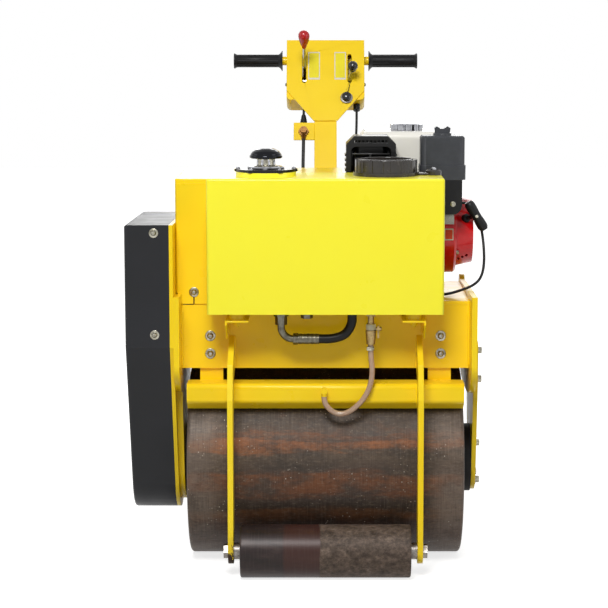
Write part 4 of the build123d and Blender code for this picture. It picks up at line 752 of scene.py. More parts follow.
def block(name: str, low: Point, high: Point, bevel: float = 1.0, segments: int = 2,
          space: Matrix = MACHINE, corner: float = 0.0) -> Piece:
    """Models a block between two corners in millimetres, with its edges rounded.

    Args:
        name: the piece's name.
        low: lowest corner.
        high: highest corner.
        bevel: radius of its edges.
        segments: facets of each rounded edge.
        space: the axes that the corners are given in, MACHINE or HANDLE.
        corner: radius of its upright edges, when they're rounder than the others.

    Returns:
        The piece in its place.
    """
    clear_selection()
    middle, size = (Vector(high) + Vector(low)) / 2 * MM, (Vector(high) - Vector(low)) * MM
    bpy.ops.mesh.primitive_cube_add(size=1.0)
    piece = bpy.context.object
    piece.name = name
    piece.scale = size
    bpy.ops.object.transform_apply(location=True, rotation=True, scale=True)
    if corner:
        heights = [vertex.co.z for vertex in piece.data.vertices]
        upright = [abs(heights[edge.vertices[0]] - heights[edge.vertices[1]]) > size.z / 2
                   for edge in piece.data.edges]
        bpy.ops.object.mode_set(mode="EDIT")
        bpy.ops.mesh.select_mode(type="EDGE")
        bpy.ops.mesh.select_all(action="DESELECT")
        bpy.ops.object.mode_set(mode="OBJECT")
        for edge, chosen in zip(piece.data.edges, upright):
            edge.select = chosen
        bpy.ops.object.mode_set(mode="EDIT")
        bpy.ops.mesh.bevel(offset=corner * MM, segments=8, affect="EDGES")
        bpy.ops.object.mode_set(mode="OBJECT")
    piece.matrix_world = space @ Matrix.Translation(middle)
    bpy.ops.object.transform_apply(location=True, rotation=True, scale=True)
    if corner:
        live = piece.modifiers.new("edges", "BEVEL")
        live.width, live.segments = bevel * MM, segments
        live.limit_method, live.angle_limit = "ANGLE", BEVEL_FROM
        bpy.ops.object.modifier_apply(modifier="edges")
    else:
        bpy.ops.object.mode_set(mode="EDIT")
        bpy.ops.mesh.select_all(action="SELECT")
        bpy.ops.mesh.bevel(offset=bevel * MM, segments=segments, affect="EDGES")
        bpy.ops.object.mode_set(mode="OBJECT")
    smooth(piece)
    return piece


def set_down(piece: Piece, point: Vector, way: Vector, turn: float = 0.0) -> Piece:
    """Points a piece's Z axis along way, turns it about that axis, moves its origin to point and applies it.

    Args:
        piece: the piece, modelled on the origin.
        point: where its origin goes, in metres.
        way: where its Z axis goes.
        turn: degrees about its own axis.

    Returns:
        The piece.
    """
    pick(piece)
    facing = way.normalized().to_track_quat("Z", "Y").to_matrix().to_4x4()
    piece.matrix_world = Matrix.Translation(point) @ facing @ Matrix.Rotation(math.radians(turn), 4, "Z")
    bpy.ops.object.transform_apply(location=True, rotation=True, scale=True)
    return piece


def copied(piece: Piece, name: str) -> Piece:
    """Copies a piece with its own mesh.

    Args:
        piece: the piece.
        name: the copy's name.

    Returns:
        The copy.
    """
    twin = piece.copy()
    twin.data = piece.data.copy()
    twin.name = name
    bpy.context.scene.collection.objects.link(twin)
    return twin


def joined(name: str, pieces: Sequence[Piece]) -> Piece:
    """Joins pieces into one and names it.

    Args:
        name: the joined piece's name.
        pieces: the pieces.

    Returns:
        The joined piece.
    """
    clear_selection()
    for piece in pieces:
        piece.select_set(True)
    bpy.context.view_layer.objects.active = pieces[0]
    if len(pieces) > 1:
        bpy.ops.object.join()
    pieces[0].name = name
    return pieces[0]


def ring(name: str, radius: float, width: float, rise: float, sides: int = 64) -> Piece:
    """Spins a small oval round Z into a ring.

    Args:
        name: the piece's name.
        radius: of the ring's middle line, in millimetres.
        width: half the oval's width.
        rise: half its height.
        sides: steps of the spin.

    Returns:
        The ring, lying on the origin.
    """
    clear_selection()
    bpy.ops.mesh.primitive_circle_add(vertices=12, radius=1.0, location=(radius * MM, 0, 0),
                                      rotation=(math.pi / 2, 0, 0))
    piece = bpy.context.object
    piece.name = name
    piece.scale = (width * MM, rise * MM, 1.0)
    bpy.ops.object.transform_apply(location=True, rotation=True, scale=True)
    bpy.ops.object.mode_set(mode="EDIT")
    bpy.ops.mesh.select_all(action="SELECT")
    bpy.ops.mesh.spin(steps=sides, angle=2 * math.pi, center=(0, 0, 0), axis=(0, 0, 1))
    bpy.ops.mesh.select_all(action="SELECT")
    bpy.ops.mesh.remove_doubles(threshold=1e-6)
    bpy.ops.mesh.normals_make_consistent(inside=False)
    bpy.ops.object.mode_set(mode="OBJECT")
    smooth(piece)
    return piece


def linkage(name: str, points: Sequence[Vector], radius: float) -> Piece:
    """Models a bent rod of turned lengths that meet in rounded joints.

    Args:
        name: the rod's name.
        points: the points it goes through, in metres.
        radius: its radius in millimetres.

    Returns:
        The rod.
    """
    parts = []
    for number, (start, end) in enumerate(zip(points, points[1:])):
        run = end - start
        rod = turned(f"{name}_{number}", ((0.0, radius), (run.length / MM, radius)), 12)
        parts.append(set_down(rod, start, run))
        if number:
            joint = turned(f"{name}_joint_{number}", ((-radius, 0.3 * radius), (-0.7 * radius, 0.72 * radius),
                                                      (0.0, radius), (0.7 * radius, 0.72 * radius),
                                                      (radius, 0.3 * radius)), 12)
            parts.append(set_down(joint, start, run))
    return joined(name, parts)


def on_ring(middle: Point, radius: float, count: int, way: Way, start: float = 0.0) -> list[Vector]:
    """Spaces places evenly on a ring.

    Args:
        middle: the ring's middle in millimetres.
        radius: its radius.
        count: how many places.
        way: where the ring faces: up, or to a side of the machine.
        start: how far round the first place is, as a part of the space between two.

    Returns:
        The places in metres.
    """
    x, y, z = middle
    found = []
    for number in range(count):
        turn = 2 * math.pi * (number + start) / count
        run, rise = radius * math.cos(turn), radius * math.sin(turn)
        found.append(at(x + run, y + rise, z) if way is Way.UP else at(x, y + run, z + rise))
    return found


# ---------------------------------------------------------------- fasteners


class Head(Enum):
    """The heads that hold this machine together."""

    HEX = "hex head on a washer"
    BUTTON = "socket button head on a washer"
    NUT = "nut on a washer with the bolt's end through it"
    PAN = "cross-recessed pan head"


@dataclass(frozen=True)
class Fastener:
    """A bolt, screw or nut of one size, modelled once and spread over many places."""

    head: Head
    across: float            # size across the head or over the flats, in millimetres
    TURN: ClassVar[float] = 17.0     # degrees from one fastener of a group to the next

    def model(self, name: str) -> Piece:
        """Models one.

        Args:
            name: its name.

        Returns:
            The fastener, standing on the origin and pointing up.
        """
        a = self.across
        if self.head is Head.PAN:
            return turned(name, ((0, a / 2), (0.22 * a, a / 2), (0.36 * a, 0.36 * a), (0.42 * a, 0.2 * a),
                                 (0.3 * a, 0.14 * a), (0.28 * a, 0.03 * a)), 20)
        washer = turned(name, ((0, 0.82 * a), (0.09 * a, 0.82 * a), (0.11 * a, 0.79 * a),
                               (0.12 * a, 0.3 * a)), 28)
        if self.head is Head.BUTTON:
            dome = turned("dome", ((0.1 * a, a / 2), (0.2 * a, 0.49 * a), (0.38 * a, 0.41 * a),
                                   (0.5 * a, 0.27 * a), (0.5 * a, 0.2 * a), (0.25 * a, 0.19 * a),
                                   (0.24 * a, 0.03 * a)), 24)
            return joined(name, [washer, dome])
        corner = a / 2 / math.cos(math.pi / 6)
        hexagon = turned("hexagon", ((0.1 * a, corner), (0.62 * a, corner), (0.7 * a, 0.9 * corner),
                                     (0.7 * a, 0.3 * corner)), 6, crease=20.0)
        pieces = [washer, hexagon]
        if self.head is Head.NUT:
            pieces.append(turned("end", ((0.5 * a, 0.3 * a), (0.95 * a, 0.3 * a), (1.0 * a, 0.25 * a)), 16))
        return joined(name, pieces)

    def spread(self, name: str, places: Sequence[Vector], way: Vector) -> Piece:
        """Sets one down at each place, each turned a little further, and joins them.

        Args:
            name: the joined piece's name.
            places: seats of the heads, in metres.
            way: where the heads point.

        Returns:
            The joined piece.
        """
        pattern = self.model(name)
        copies = [copied(pattern, f"{name}_{number}") for number in range(len(places))]
        for number, (twin, place) in enumerate(zip(copies, places)):
            set_down(twin, place, way, turn=self.TURN * number)
        bpy.data.objects.remove(pattern)
        return joined(name, copies)


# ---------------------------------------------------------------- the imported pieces


class Dresser:
    """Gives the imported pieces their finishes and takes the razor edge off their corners."""

    COATS: dict[str, tuple[str, ...]] = {
        "machine_yellow_enamel": ("side_plate_left", "side_plate_right", "frame_deck", "frame_front_plate",
                                  "frame_rear_plate", "scraper_front", "scraper_rear", "hood",
                                  "tank_brackets", "hanger_right", "handle_arm", "console_box", "console_face",
                                  "handlebar", "cable_bracket", "handle_ears", "cover_plate", "arm_right",
                                  "tank_pads"),
        "tank_lemon_enamel": ("front_tank",),
        "chipped_arm_enamel": ("arm_left",),
        "charcoal_powder_coat": ("belt_cover",),
        "rolled_plate_with_scale": ("drum",),
        "roller_pipe_steel": ("guide_roller",),
        "bare_axle_steel": ("guide_axle", "drum_shaft"),
        "zinc_plated_steel": ("breather_neck",),
        "passivated_fitting_steel": ("suction_pipe", "drain_plug"),
        "black_chrome": ("breather_cap",),
        "chrome_plate": ("control_levers", "fuel_cap"),
        "mount_rubber": ("isolators",),
        "hose_rubber": ("suction_hose", "cable_boots", "stop_cable", "travel_cable", "throttle_cable"),
        "grip_rubber": ("grips",),
        "ball_knob_phenolic": ("throttle_knob", "push_knob"),
        "black_engine_plastic": ("recoil_handle", "stop_cable_ends", "intake_elbow"),
        "air_cleaner_plastic": ("air_cleaner",),
        "filler_cap_plastic": ("filler_cap",),
        "lever_knob_red": ("travel_knob",),
        "engine_red_enamel": ("fan_housing", "recoil_starter"),
        "fuel_tank_white_enamel": ("fuel_tank",),
        "silencer_black_enamel": ("silencer_guard", "silencer", "fuel_tank_stays", "engine_rails",
                                  "breather_clamp"),
        "die_cast_alloy": ("engine_block", "carburettor"),
        "brass_tap_body": ("water_tap",),
        "bronze_fitting": ("cable_adjuster",),
        "clear_water_hose": ("water_hose",),
    }
    # Radius of the broken edges of sheet and plate, in millimetres.
    EDGES: dict[float, tuple[str, ...]] = {
        2.4: ("air_cleaner",),
        1.6: ("front_tank", "hood", "belt_cover", "side_plate_left", "side_plate_right", "hanger_right",
              "cover_plate"),
        1.0: ("frame_deck", "frame_front_plate", "frame_rear_plate", "handle_arm", "console_box",
              "console_face", "arm_left", "arm_right", "tank_brackets", "handle_ears", "cable_bracket",
              "engine_rails", "silencer_guard", "scraper_front", "scraper_rear"),
    }

    def dress(self, palette: Palette) -> None:
        """Assigns the finishes and adds the edge modifiers.

        Args:
            palette: the machine's materials.
        """
        for finish, nodes in self.COATS.items():
            for name in nodes:
                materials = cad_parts[name].data.materials
                materials.clear()
                materials.append(palette[finish])
                LOG.info("%s is finished in %s", name, finish)
        for radius, nodes in self.EDGES.items():
            for name in nodes:
                self.break_edges(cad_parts[name], radius)

    def break_edges(self, node: Piece, radius: float) -> None:
        """Rounds a node's sharp edges with live modifiers, which leave its mesh alone.

        Args:
            node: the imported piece.
            radius: the edges' radius in millimetres.
        """
        weld = node.modifiers.new("weld", "WELD")
        weld.merge_threshold = 1e-5
        bevel = node.modifiers.new("edges", "BEVEL")
        bevel.width = radius * MM
        bevel.segments = 2
        bevel.limit_method = "ANGLE"
        bevel.angle_limit = BEVEL_FROM
        bevel.harden_normals = True


# ---------------------------------------------------------------- sub-assemblies


@dataclass
class Assembly:
    """Pieces that are built together, with the machine's finishes to hand."""

    palette: Palette

    def build(self) -> list[Piece]:
        """Builds the pieces.

        Returns:
            The finished pieces.
        """
        raise NotImplementedError

    def finish(self, piece: Piece, finish: str, slot: str, body: str = "chassis",
               replaces: Sequence[str] = ()) -> Piece:
        """Gives a piece its material and body, and hides the nodes that it stands for.

        Args:
            piece: the piece in its place.
            finish: its finish's name.
            slot: the record slot of its material; not used.
            body: the body that it rides on.
            replaces: the nodes that it stands for.

        Returns:
            The piece.
        """
        piece.data.materials.append(self.palette[finish])
        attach(piece, body)
        if replaces:
            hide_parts(*replaces)
        LOG.info("%s rides on %s, %s", piece.name, body, finish)
        return piece

    def fasten(self, name: str, head: Head, across: float, places: Sequence[Vector], way: Way,
               body: str = "chassis", finish: str = "zinc_plated_steel") -> Piece:
        """Sets a fastener down at each place and joins them into one piece.

        Args:
            name: the joined piece's name.
            head: the kind of head.
            across: size across the head or over the flats, in millimetres.
            places: seats of the heads, in metres.
            way: where the heads point.
            body: the body that they ride on.
            finish: their finish's name.

        Returns:
            The joined piece.
        """
        heads = Fastener(head, across).spread(name, places, way.vector)
        return self.finish(heads, finish, "zinc_steel", body)


@dataclass
class FrameHardware(Assembly):
    """Bolts and nuts of the frame, scrapers, hanger, cover and feet, and the hood's flange."""

    scraper_x: float = 250.0
    scraper_rows: tuple[float, float] = (472.0, 511.0)
    hanger: float = 334.0            # the hanger's outer face
    hanger_rows: tuple[float, float] = (406.0, 470.0)
    hanger_reach: float = 85.0
    isolator: float = 42.0           # the isolator's bolts, out from the axle both ways
    foot: float = 619.0              # top of the engine's foot
    foot_bolts: tuple[tuple[float, float], tuple[float, float]] = ((78.0, 206.0), (11.0, 159.0))     # X and Y
    ear_plate: float = 206.0         # the ears' plate, its back face
    ear_x: float = 46.0
    ear_rows: tuple[float, float] = (502.0, 572.0)
    pad_x: float = 188.0
    pad_rows: tuple[float, float] = (-226.0, -167.0)
    bracket_low: float = 555.0       # underside of the tank's brackets
    cover_x: float = -364.0
    cover_front: float = -224.0
    cover_front_rows: tuple[float, float] = (525.0, 743.0)
    cover_back: float = 216.0
    cover_back_rows: tuple[float, float] = (525.0, 735.0)
    flange_sides: tuple[float, float] = (-320.0, -253.5)
    flange_rows: tuple[float, float] = (581.0, 842.0)
    flange_plate: float = 3.0        # its thickness
    slot_sides: tuple[float, float] = (-286.0, -283.0)
    slot_rows: tuple[float, float] = (608.0, 616.0)      # where the flange closes over the slot
    slot_bolt: tuple[float, float] = (-284.5, 607.0)     # its X and Z

    def build(self) -> list[Piece]:
        """Builds the fasteners and the flange.

        Returns:
            The finished pieces.
        """
        return [*self.scrapers(), *self.hangers(), *self.feet(), *self.flange()]

    def scrapers(self) -> list[Piece]:
        """Sets button heads in the front scraper's tabs, and hex heads in the rear one's.

        Returns:
            Both rows.
        """
        front, back = [[at(x, y, z) for x in (-self.scraper_x, self.scraper_x) for z in self.scraper_rows]
                       for y in (FRONT_PLATE, BACK_PLATE)]
        return [self.fasten("scraper_bolts_front", Head.BUTTON, 14.0, front, Way.FRONT),
                self.fasten("scraper_bolts_rear", Head.HEX, 13.0, back, Way.BACK)]

    def hangers(self) -> list[Piece]:
        """Sets the hanger's bolts to the side plate, and those that hold the isolator.

        Returns:
            The bolts.
        """
        places = [at(self.hanger, y, z) for y in (-self.hanger_reach, self.hanger_reach)
                  for z in self.hanger_rows]
        places += [at(self.hanger, y, AXLE + z) for y in (-self.isolator, self.isolator)
                   for z in (-self.isolator, self.isolator)]
        return [self.fasten("hanger_bolts", Head.HEX, 14.0, places, Way.RIGHT)]

    def feet(self) -> list[Piece]:
        """Sets bolts in the engine's foot, the ears' plate and the cover, and nuts under the tank's pads.

        Returns:
            The groups.
        """
        foot = [at(x, y, self.foot) for x in self.foot_bolts[0] for y in self.foot_bolts[1]]
        ears = [at(x, self.ear_plate, z) for x in (-self.ear_x, self.ear_x) for z in self.ear_rows]
        pads = [at(x, y, self.bracket_low) for x in (-self.pad_x, self.pad_x) for y in self.pad_rows]
        cover = [at(self.cover_x, self.cover_front, z) for z in self.cover_front_rows]
        cover_back = [at(self.cover_x, self.cover_back, z) for z in self.cover_back_rows]
        return [self.fasten("engine_foot_bolts", Head.HEX, 13.0, foot, Way.UP),
                self.fasten("ear_plate_bolts", Head.HEX, 13.0, ears, Way.BACK),
                self.fasten("tank_pad_nuts", Head.NUT, 13.0, pads, Way.DOWN, finish="machine_yellow_enamel"),
                self.fasten("cover_bolts_front", Head.BUTTON, 12.0, cover, Way.FRONT),
                self.fasten("cover_bolts_back", Head.BUTTON, 12.0, cover_back, Way.BACK)]

    def flange(self) -> list[Piece]:
        """Folds the hood cheek's flange over the front plate, slotted for its bolt, with black strips in its
        gaps as painted shadow.

        Returns:
            The flange, its bolt and the painted shadow strips.
        """
        (left, right), (low, high), plate = self.flange_sides, self.flange_rows, FRONT_PLATE
        (slot_left, slot_right), (closed, slot_top) = self.slot_sides, self.slot_rows
        face = plate - self.flange_plate
        parts = [block("flange_left", (left, face + 0.1, low), (slot_left, plate, slot_top), 0.5, 1),
                 block("flange_right", (slot_right, face + 0.1, low), (right, plate, slot_top), 0.5, 1),
                 block("flange_upper", (left, face, closed), (right, plate, high), 0.2, 1)]
        flange = self.finish(joined("hood_flange", parts), "machine_yellow_enamel", "yellow_enamel")
        seat = at(self.slot_bolt[0], face, self.slot_bolt[1])
        bolt = self.fasten("hood_flange_bolt", Head.BUTTON, 13.0, [seat], Way.FRONT)
        # Thin black strips in the slot and along the flange's lower edge: painted shadow for the dark gaps
        # between flange and plate.
        painted_gap_shadows = [block("painted_shadow_below", (left + 11.0, plate - 0.8, low - 1.6),
                      (slot_left + 1.0, plate, low + 0.4), 0.2, 1),
                block("painted_shadow_slit", (slot_left - 0.2, plate - 1.2, low - 0.6),
                      (slot_right - 0.6, plate, low + 20.0), 0.2, 1)]
        return [flange, bolt, self.finish(joined("flange_painted_shadow_strips", painted_gap_shadows), "hose_rubber", "black_rubber")]


@dataclass
class WeldBeads(Assembly):
    """Fillet welds along the seams of the frame: rows of overlapping puddles, painted over."""

    size: float = 2.6
    step: float = 4.0
    # The beads of each seam: a name, and the two ends in millimetres.
    SEAMS: ClassVar[dict[str, list[tuple[str, Point, Point]]]] = {
        "arm_welds": [(f"arm_bead_{x:.0f}", (x + side, FRONT_PLATE, 444.0), (x + side, FRONT_PLATE, 511.0))
                      for x in (-203.0, 203.0) for side in (-6.0, 6.0)],
        "tank_leg_welds": [(f"leg_bead_{x:.0f}", (x, FRONT_PLATE, 516.0), (x, FRONT_PLATE, 553.0))
                           for x in (-213.0, 213.0)],
        "front_plate_welds": [(f"plate_bead_{x:.0f}", (x, FRONT_PLATE - 0.5, 446.0),
                               (x, FRONT_PLATE - 0.5, 564.0)) for x in (-311.0, 311.0)],
        "ear_welds": [(f"ear_bead_{x:.0f}", (x, 206.0, 532.0), (x, 206.0, 580.0))
                      for x in (-37.0, -27.5, 27.5, 37.0)],
        "hanger_weld": [("hanger_bead", (324.5, -88.0, 376.5), (324.5, 88.0, 376.5))],
    }

    def bead(self, name: str, start: Point, end: Point) -> Piece:
        """Models one bead between two places in millimetres.

        Args:
            name: the bead's name.
            start: one end.
            end: the other end.

        Returns:
            The bead.
        """
        run = at(*end) - at(*start)
        puddles = max(3, round(run.length / MM / self.step))
        pitch = run.length / MM / puddles
        stations = [(0.0, 0.6 * self.size)]
        for puddle in range(puddles):
            stations += [((puddle + 0.45) * pitch, self.size), ((puddle + 0.95) * pitch, 0.86 * self.size)]
        return set_down(turned(name, stations, 8), at(*start), run)

    def build(self) -> list[Piece]:
        """Builds the beads, joined by the seam they close.

        Returns:
            The finished pieces.
        """
        return [self.finish(joined(name, [self.bead(*ends) for ends in beads]), "machine_yellow_enamel",
                            "yellow_enamel") for name, beads in self.SEAMS.items()]


@dataclass
class DrumEnds(Assembly):
    """Bolts on the drum's end discs and the fillet welds inside its rims."""

    disc: float = 270.0              # the discs' outer faces
    ring: float = 112.0
    bolts: int = 8
    rim: float = 200.5               # the shell's inner radius

    def build(self) -> list[Piece]:
        """Builds both ends' bolts and welds.

        Returns:
            The finished pieces.
        """
        found = []
        for name, end, way in (("left", -1, Way.LEFT), ("right", 1, Way.RIGHT)):
            middle = (end * self.disc, 0.0, AXLE)
            places = on_ring(middle, self.ring, self.bolts, way)
            found.append(self.fasten(f"disc_bolts_{name}", Head.HEX, 14.0, places, way, "drum"))
            weld = turned(f"rim_weld_{name}", (
                (-1.0, self.rim), (0.0, self.rim), (3.5, self.rim - 0.2), (3.5, self.rim - 1.2),
                (0.6, self.rim - 4.5), (-1.0, self.rim - 4.5)), 96)
            set_down(weld, at(*middle), way.vector)
            found.append(self.finish(weld, "rolled_plate_with_scale", "mill_steel", "drum"))
        return found


@dataclass
class TankTop(Assembly):
    """What stands on the front tank: the breather's flange, ribs and screws, and the filler cap's strap."""

    breather: tuple[float, float] = (-127.0, -168.0)
    filler: tuple[float, float] = (129.5, -157.0)
    top: float = 861.0
    clamp: float = 15.0              # the clamped disc's top over the tank
    ribs: int = 8
    rib_ring: float = 17.0
    lugs: int = 6
    lug_ring: float = 59.5
    mushroom: float = 40.0           # the breather cap's rim over the tank
    strap_screw: tuple[float, float] = (102.0, 3.0)      # from the filler's middle
    bead_height: float = 34.0

    def build(self) -> list[Piece]:
        """Builds the breather's parts and the filler's.

        Returns:
            The finished pieces.
        """
        return [*self.breather_top(), *self.filler_strap()]

    def breather_top(self) -> list[Piece]:
        """Builds the polished flange with the neck's ribs, the rim of the mushroom and the disc's screws.

        Returns:
            The three pieces.
        """
        x, y = self.breather
        seat = self.top + self.clamp
        flange = turned("breather_flange", ((0.0, 39.0), (3.0, 40.0), (5.5, 38.0), (7.3, 30.0), (8.2, 21.0),
                                            (8.2, 18.0)), 48)
        set_down(flange, at(x, y, seat), Way.UP.vector)
        rib = turned("rib", ((7.0, 5.0), (9.0, 4.2), (16.0, 3.4), (22.0, 3.6), (25.0, 5.0)), 12)
        ribs = [set_down(copied(rib, f"rib_{number}"), spot, Way.UP.vector)
                for number, spot in enumerate(on_ring((x, y, seat), self.rib_ring, self.ribs, Way.UP, 0.5))]
        bpy.data.objects.remove(rib)
        rim = turned("mushroom_rim", ((0.0, 29.0), (-2.2, 30.5), (-3.0, 32.5), (-2.0, 34.6), (0.6, 35.2),
                                      (3.0, 34.6), (4.5, 33.0), (4.0, 30.0)), 48)
        set_down(rim, at(x, y, self.top + self.mushroom), Way.UP.vector)
        screws = on_ring((x, y, seat), self.lug_ring, self.lugs, Way.UP)
        return [self.finish(joined("breather_flange", [flange, *ribs]), "chrome_plate", "chrome_plate"),
                self.finish(rim, "black_chrome", "chrome_plate"),
                self.fasten("breather_screws", Head.PAN, 9.0, screws, Way.UP, finish="chrome_plate")]

    def filler_strap(self) -> list[Piece]:
        """Builds the strap that keeps the filler cap on the tank, the cap's raised rim and the strap's screw.

        Returns:
            The three pieces.
        """
        x, y = self.filler
        screw_x, screw_y = x + self.strap_screw[0], y + self.strap_screw[1]
        strap = block("strap", (x + 60.0, y - 10.0, self.top), (x + 116.0, y + 16.0, self.top + 6.0), 2.2)
        pad = turned("pad", ((0.0, 17.0), (9.0, 17.0), (12.0, 14.0), (12.5, 7.0)), 32)
        set_down(pad, at(screw_x, screw_y, self.top), Way.UP.vector)
        bead = set_down(ring("cap_bead", 55.5, 2.6, 1.8), at(x, y, self.top + self.bead_height),
                        Way.UP.vector)
        return [self.finish(joined("filler_strap", [strap, pad]), "filler_cap_plastic", "cap_plastic"),
                self.finish(bead, "filler_cap_plastic", "cap_plastic"),
                self.fasten("filler_strap_screw", Head.PAN, 11.0, [at(screw_x, screw_y, self.top + 12.0)],
                            Way.UP, finish="chrome_plate")]


@dataclass
class Plumbing(Assembly):
    """Crimps, clamp and nuts on the pipes under the tank."""

    row: float = -200.0              # the fittings' Y
    pipe_height: float = 513.0
    ferrule: tuple[float, float] = (-59.0, -14.0)
    crimp_count: int = 5
    tap: float = 97.0
    tap_low: float = 500.0
    spindle: tuple[float, float] = (115.0, 535.0)        # its X and Z
    nut_height: float = 562.0

    def build(self) -> list[Piece]:
        """Builds the crimps, the hose's clamp and the tap's nuts.

        Returns:
            The finished pieces.
        """
        return [self.crimps(), self.clamp(), *self.tap_trim()]

    def crimps(self) -> Piece:
        """Rolls rings along the suction hose's ferrule, and sets the nut at its elbow.

        Returns:
            The joined rings and nut.
        """
        start, end = self.ferrule
        pitch = (end - start - 12.0) / (self.crimp_count - 1)
        rings = [set_down(turned(f"crimp_{number}", ((0.0, 10.6), (1.2, 11.4), (4.6, 11.4), (5.8, 10.6)), 28),
                          at(start + 3.0 + number * pitch, self.row, self.pipe_height), Way.RIGHT.vector)
                 for number in range(self.crimp_count)]
        nut = turned("elbow_nut", ((0.0, 10.5), (1.0, 12.5), (11.0, 12.5), (12.0, 10.5)), 6, crease=20.0)
        rings.append(set_down(nut, at(start - 11.0, self.row, self.pipe_height), Way.RIGHT.vector))
        return self.finish(joined("ferrule_crimps", rings), "passivated_fitting_steel", "zinc_steel")

    def clamp(self) -> Piece:
        """Winds a worm-drive clamp round the water hose under the tap.

        Returns:
            The joined band, housing and screw.
        """
        x, y, z = self.tap, self.row, self.tap_low - 12.0
        band = turned("band", ((0.0, 6.6), (0.3, 7.6), (9.2, 7.6), (9.5, 6.6)), 28)
        parts = [set_down(band, at(x, y, z), Way.UP.vector),
                 block("housing", (x - 9.0, y - 11.0, z + 0.8), (x + 3.0, y - 5.0, z + 8.8), 1.2)]
        screw = turned("worm", ((0.0, 3.2), (3.0, 3.2), (3.4, 2.4)), 6)
        parts.append(set_down(screw, at(x + 3.0, y - 8.0, z + 4.8), Way.RIGHT.vector))
        return self.finish(joined("hose_clamp", parts), "zinc_plated_steel", "zinc_steel")

    def tap_trim(self) -> list[Piece]:
        """Builds the tap's nuts and barrel, and the pale ring that seals it under the tank.

        Returns:
            The joined nuts and barrel, and the ring.
        """
        hexagon = turned("tap_hexagon", ((0.0, 9.5), (0.8, 11.0), (9.2, 11.0), (10.0, 9.5)), 6, crease=20.0)
        set_down(hexagon, at(self.tap, self.row, self.nut_height), Way.UP.vector)
        spindle = turned("spindle_nut", ((0.0, 4.6), (4.0, 4.6), (5.0, 3.6)), 6)
        set_down(spindle, at(self.spindle[0], self.row, self.spindle[1]), Way.RIGHT.vector)
        barrel = turned("tap_barrel", ((0.0, 8.4), (2.0, 9.4), (21.0, 10.8), (30.0, 11.6), (31.0, 10.8)), 32)
        set_down(barrel, at(self.tap, self.row, self.tap_low + 1.0), Way.UP.vector)
        seal = turned("tap_seal_ring", ((0.0, 9.6), (0.8, 10.6), (12.0, 10.6), (12.8, 9.4)), 32)
        set_down(seal, at(self.tap, self.row, self.tap_low + 32.5), Way.UP.vector)
        return [self.finish(joined("tap_nuts", [hexagon, spindle, barrel]), "brass_tap_body", "brass"),
                self.finish(seal, "plate_border_white", "white_enamel")]


